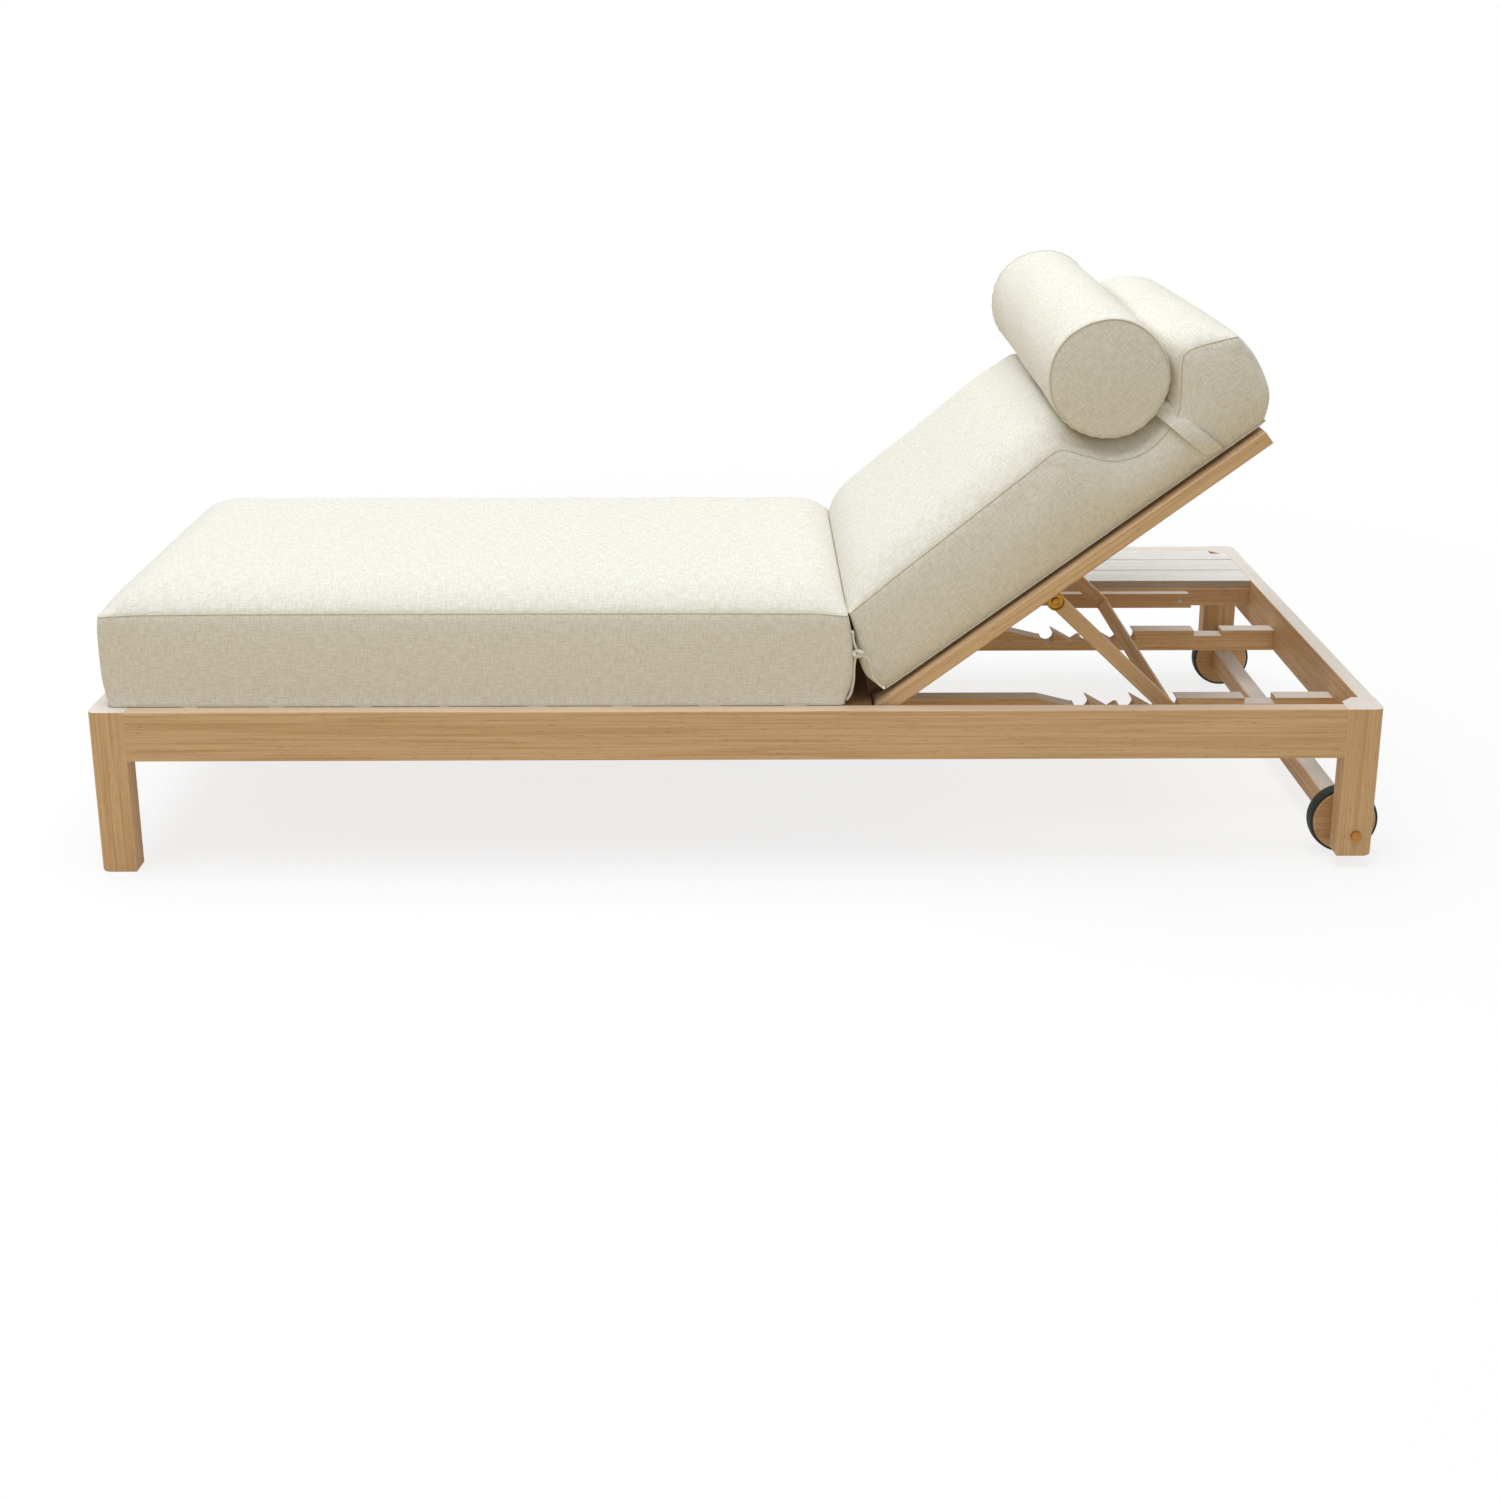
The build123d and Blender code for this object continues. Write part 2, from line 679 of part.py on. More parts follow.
def cushion(start, length, base, seam_low, seam_high, head_radius):
    """Loft of a cushion along X. Its sides draw in between its corners and its top is crowned."""
    foot_radius = cushion_end_radius
    stations = [share * foot_radius for share in end_station_shares]
    stations += [share * length for share in middle_station_shares]
    stations += [length - share * head_radius for share in reversed(end_station_shares)]
    sections = []
    for station in stations:
        share = station / length
        bow = 1 - (2 * share - 1) ** 2
        foot_draw = foot_radius * end_inset(station, foot_radius)
        draw = foot_draw + head_radius * end_inset(length - station, head_radius)
        half_width = cushion_width / 2 - cushion_draw_in * bow - draw / 2
        crown = cushion_crown * (end_crown_share + (1 - end_crown_share) * bow)
        seam = seam_low + share * (seam_high - seam_low) - draw
        face = cushion_section(half_width, base + draw / 2, seam, crown)
        sections.append(Pos(start + station, bay_middle, 0) * (Plane.YZ * face))
    return loft(sections, ruled=True)


def seat_cushion():
    """Long seat cushion on the slats."""
    seam = cushion_base + cushion_seam_height
    return cushion(seat_cushion_start, seat_cushion_length, cushion_base, seam, seam, cushion_end_radius)


def back_cushion():
    """Cushion of the backrest, pressed in under the bolster and cut back where the seat meets it."""
    length = back_cushion_reach - back_cushion_start
    seam = back_base + back_cushion_seam
    solid = cushion(back_cushion_start, length, back_base, seam, seam + back_cushion_rise,
                    back_cushion_head_radius)
    nest = rod_y(bolster_radius + soft_gap, bolster_from_hinge,
                 (bay_middle - cushion_width, bay_middle + cushion_width), bolster_above_axis)
    room = seat_cushion_end + soft_gap - hinge_x
    cutter = Box(cushion_width, 2 * cushion_width, cushion_width)
    cutter = Pos(room - cushion_width / 2, bay_middle, 0) * cutter
    return solid - nest - Rot(0, steepest_angle, 0) * cutter


def bolster():
    """Round neck bolster with slightly domed ends."""
    half = cushion_width / 2 - bolster_end_dome
    rim = bolster_radius - bolster_edge_radius
    inset = bolster_edge_radius * (1 - math.sqrt(0.5))
    upper = [
        ThreePointArc((0, half + bolster_end_dome),
                      (rim / 2, half + bolster_end_dome * shoulder_crown_share), (rim, half)),
        ThreePointArc((rim, half), (bolster_radius - inset, half - inset),
                      (bolster_radius, half - bolster_edge_radius)),
    ]
    lower = [mirror(arc, about=Plane.XZ) for arc in upper]
    wall = Line((bolster_radius, half - bolster_edge_radius), (bolster_radius, bolster_edge_radius - half))
    axis = Line((0, half + bolster_end_dome), (0, -half - bolster_end_dome))
    solid = revolve(make_face(upper + lower + [wall, axis]), Axis.Y)
    return Pos(bolster_from_hinge, bay_middle, bolster_above_axis) * solid


def bolster_straps():
    """Flat straps from the ends of the bolster down the sides of the cushion to the backrest rails."""
    half = strap_width / 2
    top = strap_top_from_hinge
    foot = strap_foot_from_hinge
    outline = make_face(Polyline(
        (top - half, strap_top_above_axis), (top + half, strap_top_above_axis),
        (foot + half, back_base), (foot - half, back_base), close=True))
    face = bay_middle - cushion_width / 2 - cushion_side_bulge - soft_gap
    near = upright(outline, (face - strap_thick, face))
    return [near, bay_twin(near)]


def save(name, solids):
    """Writes one node: a single piece, or a group of separate pieces."""
    shape = Compound(children=list(solids)) if isinstance(solids, list) else solids
    export_step(shape, os.path.join("parts", name + ".step"))


def frame_nodes():
    """Pieces of the frame that stays on the floor, by name."""
    nodes = {
        "near_side_rail": near_side_rail(),
        "far_side_rail": far_side(near_side_rail()),
        "foot_rail": foot_rail(),
        "head_rail": head_end(foot_rail()),
        "near_foot_leg": near_leg(0),
        "far_foot_leg": far_side(near_leg(0)),
        "near_head_leg": near_head_leg(),
        "far_head_leg": far_side(near_head_leg()),
        "shelf_rail": shelf_rail(),
        "shelf_cleat": shelf_cleat(),
        "hinge_cross_rail": cross_rail(hinge_x),
        "seat_cross_rail": cross_rail(sum(seat_cross_span()) / 2),
        "near_seat_bearer": near_seat_bearer(),
        "far_seat_bearer": far_seat_bearer(),
        "near_ratchet_rail": near_ratchet_rail(),
        "far_ratchet_rail": bay_twin(near_ratchet_rail()),
        "near_rest_batten": near_rest_batten(),
        "far_rest_batten": bay_twin(near_rest_batten()),
        "batten_screws": batten_screws(),
        "near_hinge_block": near_hinge_block(),
        "far_hinge_block": bay_twin(near_hinge_block()),
        "hinge_bolts": hinge_bolts(),
        "wheel_stretcher": wheel_stretcher(),
        "axle_bolts": axle_bolts(),
        "axle_washers": axle_washers(),
        "seat_cushion": seat_cushion(),
    }
    for number in range(shelf_slat_count):
        nodes[f"shelf_slat_{number + 1}"] = shelf_slat(number)
    for number in range(len(shelf_bearer_shares)):
        nodes[f"shelf_bearer_{number + 1}"] = shelf_bearer(number)
    for number in range(seat_slat_count):
        nodes[f"seat_slat_{number + 1}"] = seat_slat(number)
    return nodes


def backrest_nodes():
    """Pieces that recline with the backrest, drawn with the hinge as origin and then leaned back."""
    return {
        "near_backrest_rail": near_backrest_rail(),
        "far_backrest_rail": bay_twin(near_backrest_rail()),
        "backrest_head_rail": head_rail_body(0),
        "backrest_prop_rail": prop_rail_body(0),
        "backrest_slats": [slat_body(place, 0) for place in slats_kept()],
        "near_prop_ear": near_prop_ear(),
        "far_prop_ear": bay_twin(near_prop_ear()),
        "prop_pivot_bolts": prop_pivot_bolts(),
        "back_cushion": back_cushion(),
        "bolster": bolster(),
        "bolster_straps": bolster_straps(),
    }


def prop_nodes():
    """Pieces of the prop, drawn along +X from its pivot and then swung down."""
    return {
        "near_prop_arm": near_prop_arm(),
        "far_prop_arm": bay_twin(near_prop_arm()),
        "prop_crossbar": prop_crossbar(),
    }


def wheel_nodes():
    """Pieces that turn on the axle bolts."""
    return {
        "near_wheel": near_wheel(),
        "far_wheel": far_side(near_wheel()),
        "near_tyre": near_tyre(),
        "far_tyre": far_side(near_tyre()),
    }


def placed(place, solids):
    """Moves one piece or a group of pieces to its place."""
    if isinstance(solids, list):
        return [place * solid for solid in solids]
    return place * solids


os.makedirs("parts", exist_ok=True)
for name, solids in {**frame_nodes(), **wheel_nodes()}.items():
    save(name, solids)
for name, solids in backrest_nodes().items():
    save(name, placed(reclined, solids))
for name, solids in prop_nodes().items():
    save(name, placed(propped, solids))
print(f"hinge x {hinge_x:.3f} z {hinge_z:.3f}  pivot x {pivot_x:.3f} z {pivot_z:.3f}")
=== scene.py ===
import math

import bpy
import numpy as np
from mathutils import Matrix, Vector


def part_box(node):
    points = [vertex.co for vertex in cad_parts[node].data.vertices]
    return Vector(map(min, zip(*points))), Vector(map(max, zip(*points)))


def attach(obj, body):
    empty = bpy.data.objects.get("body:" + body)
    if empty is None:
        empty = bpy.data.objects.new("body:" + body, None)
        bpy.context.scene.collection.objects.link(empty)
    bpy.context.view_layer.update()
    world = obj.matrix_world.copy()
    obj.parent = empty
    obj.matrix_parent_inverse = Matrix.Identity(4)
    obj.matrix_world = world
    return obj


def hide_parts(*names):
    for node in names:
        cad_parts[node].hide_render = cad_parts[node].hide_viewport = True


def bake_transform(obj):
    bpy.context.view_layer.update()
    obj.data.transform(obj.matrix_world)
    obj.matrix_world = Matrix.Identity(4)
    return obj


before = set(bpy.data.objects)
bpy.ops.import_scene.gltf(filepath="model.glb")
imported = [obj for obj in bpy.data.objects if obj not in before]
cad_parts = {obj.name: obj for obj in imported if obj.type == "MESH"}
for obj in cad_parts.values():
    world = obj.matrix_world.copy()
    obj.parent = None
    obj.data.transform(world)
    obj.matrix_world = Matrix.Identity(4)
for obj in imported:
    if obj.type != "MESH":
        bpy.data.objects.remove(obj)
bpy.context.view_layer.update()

bl_info = {
    "name": "Chaise lounger with side shelf",
    "version": (1, 0, 0),
    "blender": (4, 5, 0),
    "location": "3D view > Sidebar > Lounger",
    "description": "Dresses the lounger's frame in oiled teak and gives it its cushions and bolster",
    "category": "Object",
}

MM = 0.001

# Boards by the way that their grain runs, first the ones whose upper faces get the weaker painted
# highlight, which is partly weathering
OILED = {
    "x": ["near_side_rail", "shelf_rail", "shelf_cleat", "near_seat_bearer", "far_seat_bearer",
          "near_wheel", "far_wheel"],
    "y": ["seat_cross_rail", "backrest_head_rail", "backrest_prop_rail", "prop_crossbar",
          "backrest_slats"]
    + [f"seat_slat_{number}" for number in range(1, 9)],
    "backrest": ["near_backrest_rail", "far_backrest_rail", "near_prop_ear", "far_prop_ear"],
    "prop": ["near_prop_arm"],
}
# Boards whose upper faces get the stronger painted highlight, partly weathering
WEATHERED_AND_LIT = {
    "x": ["far_side_rail", "near_ratchet_rail", "far_ratchet_rail", "near_rest_batten",
          "far_rest_batten"],
    "y": ["foot_rail", "head_rail", "wheel_stretcher"],
    "z": ["near_foot_leg", "far_foot_leg", "near_head_leg", "far_head_leg"],
    "prop": ["far_prop_arm"],
}
# Boards under the gap between the cushions, painted dark: painted shade of the deep shadow in the gap
SHADED_UNDER_GAP = {"y": ["hinge_cross_rail", "seat_slat_9"], "z": ["near_hinge_block", "far_hinge_block"]}
# The shelf's slats and their bearers, pale: partly their paler wood, partly a painted reflection of the
# bright surroundings
SLATS = {
    "x": ["shelf_slat_1", "shelf_slat_2", "shelf_slat_3"],
    "y": ["shelf_bearer_1", "shelf_bearer_2", "shelf_bearer_3"],
}


def centre_of(node):
    """The middle of a CAD node's box, in metres."""
    low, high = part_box(node)
    return (np.array(low) + np.array(high)) / 2


HINGE = centre_of("hinge_bolts")
BOLSTER = centre_of("bolster")


def to_linear(code):
    """A colour written as sRGB hex, as linear red, green and blue."""
    shares = np.array([int(code[i:i + 2], 16) / 255 for i in (1, 3, 5)])
    return tuple(np.where(shares <= 0.04045, shares / 12.92, ((shares + 0.055) / 1.055) ** 2.4))


def colour(name, code, description):
    """A colour property with its default written as sRGB hex."""
    return bpy.props.FloatVectorProperty(name=name, description=description, subtype="COLOR",
                                         size=3, min=0.0, max=1.0, default=to_linear(code))


def length(name, millimetres, description):
    """A length property, shown in the scene's unit."""
    return bpy.props.FloatProperty(name=name, description=description, subtype="DISTANCE",
                                   unit="LENGTH", default=millimetres * MM)


def angle(name, degrees, description):
    """An angle property, shown in degrees."""
    return bpy.props.FloatProperty(name=name, description=description, subtype="ANGLE",
                                   unit="ROTATION", default=math.radians(degrees))


def fraction(name, value, description):
    """A share from nothing to all."""
    return bpy.props.FloatProperty(name=name, description=description, subtype="FACTOR",
                                   min=0.0, max=1.0, default=value)


class TeakFinish(bpy.types.PropertyGroup):
    """Oiled teak of the frame with a painted highlight on the upper faces of its boards, partly
    weathering, its boards under the gap between the cushions darkened as painted shade, and the paler
    slats, partly a painted reflection, with painted shade on their narrow sides.
    """

    board: colour("Board", "#E0BE93", "Wood between the growth lines of the frame")
    grain: colour("Grain", "#C9A073", "Growth lines of the frame")
    pore: colour("Pore", "#96704A", "Open pores, filled with dark oil")
    # Painted shade: a darker wood colour for the boards under the gap between the cushions, where the gap
    # lies in deep shadow
    shaded: colour("Shaded", "#7C5D3E", "Wood that stays damp under the gap between the cushions")
    # The slats' colour is near white, partly their paler wood, partly a painted reflection of the bright
    # surroundings; upward faces of other boards are lightened towards it as a painted highlight
    slat: colour("Slat", "#F1EFEC", "Wood between the growth lines of the slats")
    slat_grain: colour("Slat grain", "#DDD6CD", "Growth lines of the slats")
    # Painted highlight, partly weathering: how far the upper faces of each group of boards are lightened
    oiled: fraction("Oiled", 0.25, "How far the upper faces of freshly oiled boards are lightened")
    weathered_and_lit: fraction("Weathered_and_lit", 0.7, "How far the upper faces of weathered boards are lightened")
    # Painted shade: the narrow sides of the shelf's slats are darkened where the gaps between them lie in
    # shadow
    gap_shade: fraction("Shade", 0.65, "How far the narrow sides of the shelf's slats are darkened")
    line_width: length("Growth line", 3.5, "Distance between growth lines across the grain")
    line_run: length("Line run", 260.0, "How far a growth line runs before it changes")
    pore_width: length("Pore width", 1.6, "Distance between pores; drawn coarse, so that they show")
    pore_run: length("Pore run", 22.0, "Length of a row of pores")
    figure: length("Figure", 34.0, "Width of the broad light and dark bands")
    figure_run: length("Figure run", 1040.0, "How far a broad band runs before it changes")
    relief: length("Relief", 0.4, "Depth of the pores and the growth lines")
    prop_lean: angle("Prop slope", 43.8, "Slope of the prop's arms in this pose")


class FabricFinish(bpy.types.PropertyGroup):
    """Woven outdoor fabric of all the cushions."""

    light: colour("Light thread", "#EFEDE5", "Thread of the warp")
    dark: colour("Dark thread", "#E1DACB", "Flecks of the weft")
    # The seam's colour is darker than the cloth: painted shade of the fold along a seam and along a
    # strap's edge
    seam: colour("Seam", "#C9C2AE", "Folded edge of the fabric in a seam")
    thread: length("Thread", 2.2, "Thread spacing; the real 1.2 mm is drawn coarser, so that it shows")
    slub: length("Slub", 17.0, "Length of the thicker places of a thread")
    relief: length("Relief", 0.6, "Depth of the weave")
    cord: length("Seam edge", 1.1, "Half the thickness of the folded edge along a seam")
    hem_cord: length("Hem edge", 0.9, "Half the thickness of the folded edge of a strap")


class FittingFinish(bpy.types.PropertyGroup):
    """Metals and rubber of the small fittings."""

    brass: colour("Brass", "#AC7E33", "Discs and bolts of the prop's pivots")
    bronze: colour("Bronze", "#B07A3E", "Heads of the axle bolts")
    steel: colour("Steel", "#B9B7B0", "Screws, hinge bolts and washers")
    rubber: colour("Rubber", "#2C332F", "Tyres")
    relief: length("Relief", 0.2, "Depth of the tool marks")
    rim: length("Rim", 1.0, "Half the thickness of the raised rim on a pivot's disc")
    bolt: length("Bolt", 1.3, "Half the thickness of the ring round the bolt in a pivot's disc")
    rim_share: fraction("Rim share", 0.9, "Radius of the rim as a share of the disc's")
    bolt_share: fraction("Bolt share", 0.36, "Radius of the bolt's ring as a share of the disc's")


class SeatCushionSizes(bpy.types.PropertyGroup):
    """The long cushion on the slats, in the frame's own places."""

    foot: length("Foot end", -1001.0, "Where the cushion's foot end stands along the lounger")
    head: length("Head end", 173.5, "Where the cushion's head end stands along the lounger")
    seam: length("Seam height", 148.0, "Height of the upper seam above the slats")
    hem: length("Lower seam", 0.2, "Height of the lower seam above the slats")
    crown: length("Crown", 35.0, "How far the top swells above its seam")
    swelling: length("Swelling", 3.5, "How far the side and end panels swell between their seams")
    draw_in: length("Draw in", 4.0, "How far the sides pull in between the corners")
    corner: length("Corner", 12.0, "Radius of the upright corners")
    tuck: length("Tuck", 3.0, "How far the panels turn in below their upper seam")
    turn_in: length("Turn in", 0.0, "How far the panels turn in above their lower seam")


class BackCushionSizes(bpy.types.PropertyGroup):
    """The cushion of the backrest, measured from the hinge along and above the backrest."""

    lean: angle("Lean", 37.0, "Slope of the backrest in this pose")
    base: length("Base", 11.6, "Height of the slats' face above the backrest's axis")
    hem: length("Lower seam", 9.0, "Height of the lower seam above the slats")
    crown: length("Crown", 36.0, "How far the top swells above its seams")
    swelling: length("Swelling", 7.0, "How far the side and end panels swell between their seams")
    draw_in: length("Draw in", 3.0, "How far the sides pull in between the corners")
    corner: length("Corner", 10.0, "Radius of the corners at both ends")
    tuck: length("Tuck", 2.5, "How far the panels turn in below their upper seam")
    turn_in: length("Turn in", 13.0, "How far the panels turn in above their lower seam")


class BolsterSizes(bpy.types.PropertyGroup):
    """The round neck bolster and its straps."""

    radius: length("Radius", 91.5, "Radius of the bolster")
    half: length("Half length", 328.0, "From the middle of the bolster to the seam of an end")
    lift: length("Lift", 18.0, "How much higher the far end lies than the near end")
    skew: length("Skew", 14.0, "How much further up the backrest the far end lies")
    dome: length("Dome", 7.0, "How far an end panel swells beyond its seam")
    rim_in: length("Rim", 0.6, "How far the seams draw the wall in")
    rim_run: length("Rim run", 12.0, "How far from a seam the wall is drawn in")
    pucker: length("Pucker", 0.5, "Height of the small folds beside a seam")
    pucker_run: length("Pucker run", 30.0, "How far the small folds run from a seam")
    lump: length("Lump", 1.2, "How far the filling presses lumps into the wall")
    strap_width: length("Strap width", 26.0, "Width of the fabric straps")
    strap_thick: length("Strap thickness", 2.0, "Thickness of the doubled fabric")
    strap_lift: length("Strap lift", 1.6, "Gap between a strap and the cushion's side")
    strap_slant: angle("Strap slant", 14.3239, "How far a strap's width turns from the backrest")
    tie_width: length("Tie width", 7.5, "Width of the folded edges beside the gap")
    tie_thick: length("Tie thickness", 3.0, "Thickness of the folded edges beside the gap")
    knot_cord: length("Knot", 3.0, "Half the thickness of the cord in a knot")


class StageSizes(bpy.types.PropertyGroup):
    """Floor, light and camera."""

    lens: bpy.props.FloatProperty(name="Lens", description="Focal length in millimetres", unit="CAMERA",
                                  default=45.98)
    camera: bpy.props.FloatVectorProperty(name="Camera", description="Place of the camera", size=3,
                                          subtype="TRANSLATION", unit="LENGTH",
                                          default=(-0.01609, -3.24675, 1.29138))
    pitch: angle("Pitch", 15.79, "How far the camera looks down")
    yaw: angle("Yaw", 0.46, "How far the camera looks to the right")
    rise: bpy.props.FloatProperty(name="Shift", description="Upward shift of the frame", default=-0.1266)
    key: bpy.props.FloatProperty(name="Key light", description="Power of the lamp overhead",
                                 unit="POWER", default=245.0)
    lamp: bpy.props.FloatVectorProperty(name="Lamp", description="Place of the lamp", size=3,
                                        subtype="TRANSLATION", unit="LENGTH", default=(-0.8, -0.3, 5.2))
    lamp_width: length("Lamp width", 5000.0, "Width of the square lamp")
    lamp_tilt: angle("Lamp tilt", 6.0, "How far the lamp is turned from straight down to the head")
    fill: bpy.props.FloatProperty(name="Fill", description="Strength of the soft light all round",
                                  default=0.41)
    floor: colour("Floor", "#E7D3AD", "Pale floor, as it lights the object")
    reach: length("Floor reach", 40000.0, "From the middle of the floor to its edge")
    shadow_end: length("Shadow end", 1400.0, "Where the floor's soft shadow starts to fade")
    backdrop: length("Backdrop", 2600.0, "Where the floor has gone over into the white backdrop")


# Settings that many nodes share
SMOOTH = {"interpolation_type": "SMOOTHSTEP"}
COLOURS = {"data_type": "RGBA"}
WHITE = (1.0, 1.0, 1.0, 1.0)


def add_node(tree, kind, settings=None, inputs=None):
    """Adds a node and makes its settings. Each input is set to a value, or linked to an output or
    to the first open output of a node."""
    node = tree.nodes.new(kind)
    for name, value in (settings or {}).items():
        setattr(node, name, value)
    for name, value in (inputs or {}).items():
        if isinstance(value, bpy.types.Node):
            value = next(output for output in value.outputs if output.enabled)
        if isinstance(value, bpy.types.NodeSocket):
            tree.links.new(value, node.inputs[name])
        else:
            node.inputs[name].default_value = value
    return node


def new_material(name):
    """An empty material, and the tree to fill."""
    material = bpy.data.materials.new(name)
    material.use_nodes = True
    material.node_tree.nodes.clear()
    return material, material.node_tree


def full(rgb):
    """A colour with its opacity."""
    return (*rgb, 1.0)


def teak(name, turn, board, grain, finish, weathering_and_highlight=0.0, gap_shade=0.0):
    """Planed teak, oiled: warm straw to honey, growth lines along the board, and fine dark pores
    that break the satin shine. The turn brings the grain's direction onto the pattern's X. Upward
    faces get a share of painted highlight, partly weathering, and faces along the lounger a share
    of painted shade."""
    material, tree = new_material(name)
    here = add_node(tree, "ShaderNodeTexCoord")
    turned = add_node(tree, "ShaderNodeMapping", inputs={
        "Vector": here.outputs["Object"], "Rotation": turn})
    facing = add_node(tree, "ShaderNodeSeparateXYZ", inputs={0: here.outputs["Normal"]})

    def streaks(run, width, detail, distortion):
        """A noise drawn out along the grain, from real lengths along and across it."""
        stretched = add_node(tree, "ShaderNodeMapping", inputs={
            "Vector": turned, "Scale": (1 / run, 1 / width, 1 / width)})
        return add_node(tree, "ShaderNodeTexNoise", inputs={
            "Vector": stretched, "Scale": 1.0, "Detail": detail, "Roughness": 0.6,
            "Distortion": distortion})

    lines = streaks(finish.line_run, finish.line_width, 4.0, 0.4)
    figure = streaks(finish.figure_run, finish.figure, 3.0, 0.8)
    pores = streaks(finish.pore_run, finish.pore_width, 1.0, 0.0)
    sideways = add_node(tree, "ShaderNodeMath", {"operation": "ABSOLUTE"}, {0: facing.outputs["Y"]})
    pore_low, pore_high = 0.62, 0.74
    # Each colour lies over the last by a share that grows from nothing at low to most at high
    layers = ((lines, 0.38, 0.72, 1.0, grain), (figure, 0.42, 0.75, 0.55, grain),
              (pores, pore_low, pore_high, 0.45, finish.pore),
              # Painted highlight, partly weathering: upward faces lightened towards the slat colour
              (facing.outputs["Z"], 0.7, 0.98, weathering_and_highlight, finish.slat),
              # Painted shade: narrow faces along the lounger darkened towards the pore colour
              (sideways, 0.7, 0.95, gap_shade, finish.pore))
    tone = full(board)
    for value, low, high, most, over in layers:
        covered = add_node(tree, "ShaderNodeMapRange", SMOOTH, {
            "Value": value, "From Min": low, "From Max": high, "To Max": most})
        tone = add_node(tree, "ShaderNodeMix", COLOURS, {"Factor": covered, "A": tone, "B": full(over)})
    # The growth lines stand a little proud, and the pores are dents
    raised = add_node(tree, "ShaderNodeMath", {"operation": "MULTIPLY"}, {0: lines, 1: 0.4})
    dented = add_node(tree, "ShaderNodeMapRange", SMOOTH, {
        "Value": pores, "From Min": pore_low, "From Max": pore_high})
    height = add_node(tree, "ShaderNodeMath", {"operation": "SUBTRACT"}, {0: raised, 1: dented})
    bump = add_node(tree, "ShaderNodeBump", inputs={
        "Strength": 0.25, "Distance": finish.relief, "Height": height})
    dull = add_node(tree, "ShaderNodeMapRange", inputs={"Value": lines, "To Min": 0.46, "To Max": 0.64})
    surface = add_node(tree, "ShaderNodeBsdfPrincipled", inputs={
        "Base Color": tone, "Roughness": dull, "IOR": 1.45, "Normal": bump})
    add_node(tree, "ShaderNodeOutputMaterial", inputs={"Surface": surface})
    return material


def woven_fabric(finish):
    """Woven acrylic outdoor fabric: matt, off-white, with a plain weave whose threads have slubs,
    which gives the fine linen-like flecks, and a faint sheen where it is seen edge on. The threads
    are the product of two sines across each other, and the slubs two noises drawn out along them."""
    material, tree = new_material("woven_acrylic_fabric")
    weave = add_node(tree, "ShaderNodeUVMap", {"uv_map": "weave"})
    flat = add_node(tree, "ShaderNodeSeparateXYZ", inputs={0: weave})
    threads, slubs = [], []
    for axis in "XY":
        place = add_node(tree, "ShaderNodeMath", {"operation": "MULTIPLY"}, {
            0: flat.outputs[axis], 1: math.pi / finish.thread})
        threads.append(add_node(tree, "ShaderNodeMath", {"operation": "SINE"}, {0: place}))
    for along, across in ((finish.slub, finish.thread), (finish.thread, finish.slub)):
        stretched = add_node(tree, "ShaderNodeMapping", inputs={
            "Vector": weave, "Scale": (1 / along, 1 / across, 1.0)})
        slubs.append(add_node(tree, "ShaderNodeTexNoise", inputs={
            "Vector": stretched, "Scale": 1.0, "Detail": 2.0, "Roughness": 0.6}))
    crossed = add_node(tree, "ShaderNodeMath", {"operation": "MULTIPLY"}, dict(enumerate(threads)))
    thick = add_node(tree, "ShaderNodeMath", {"operation": "ADD"}, dict(enumerate(slubs)))
    # A fleck shows where the slubs of both ways meet, so that their sum is high
    fleck = add_node(tree, "ShaderNodeMapRange", SMOOTH, {
        "Value": thick, "From Min": 0.8, "From Max": 1.25})
    raised = add_node(tree, "ShaderNodeMath", {"operation": "MULTIPLY"}, {0: crossed, 1: 0.3})
    height = add_node(tree, "ShaderNodeMath", {"operation": "ADD"}, {0: raised, 1: fleck})
    tone = add_node(tree, "ShaderNodeMix", COLOURS, {
        "Factor": fleck, "A": full(finish.light), "B": full(finish.dark)})
    bump = add_node(tree, "ShaderNodeBump", inputs={
        "Strength": 0.4, "Distance": finish.relief, "Height": height})
    surface = add_node(tree, "ShaderNodeBsdfPrincipled", inputs={
        "Base Color": tone, "Roughness": 0.95, "Sheen Weight": 0.04, "Sheen Roughness": 0.5,
        "Specular IOR Level": 0.06, "Normal": bump})
    add_node(tree, "ShaderNodeOutputMaterial", inputs={"Surface": surface})
    return material


def seam_edge(finish):
    """Folded edge of the fabric at a seam: the same cloth, slightly darker, as painted shade of the fold.
    """
    material, tree = new_material("folded_seam_edge")
    here = add_node(tree, "ShaderNodeTexCoord")
    mottle = add_node(tree, "ShaderNodeTexNoise", inputs={
        "Vector": here.outputs["Object"], "Scale": 1 / (4 * finish.thread)})
    tone = add_node(tree, "ShaderNodeMix", COLOURS, {
        "Factor": mottle, "A": full(finish.seam), "B": full(finish.dark)})
    surface = add_node(tree, "ShaderNodeBsdfPrincipled", inputs={
        "Base Color": tone, "Roughness": 0.95, "Specular IOR Level": 0.06})
    add_node(tree, "ShaderNodeOutputMaterial", inputs={"Surface": surface})
    return material


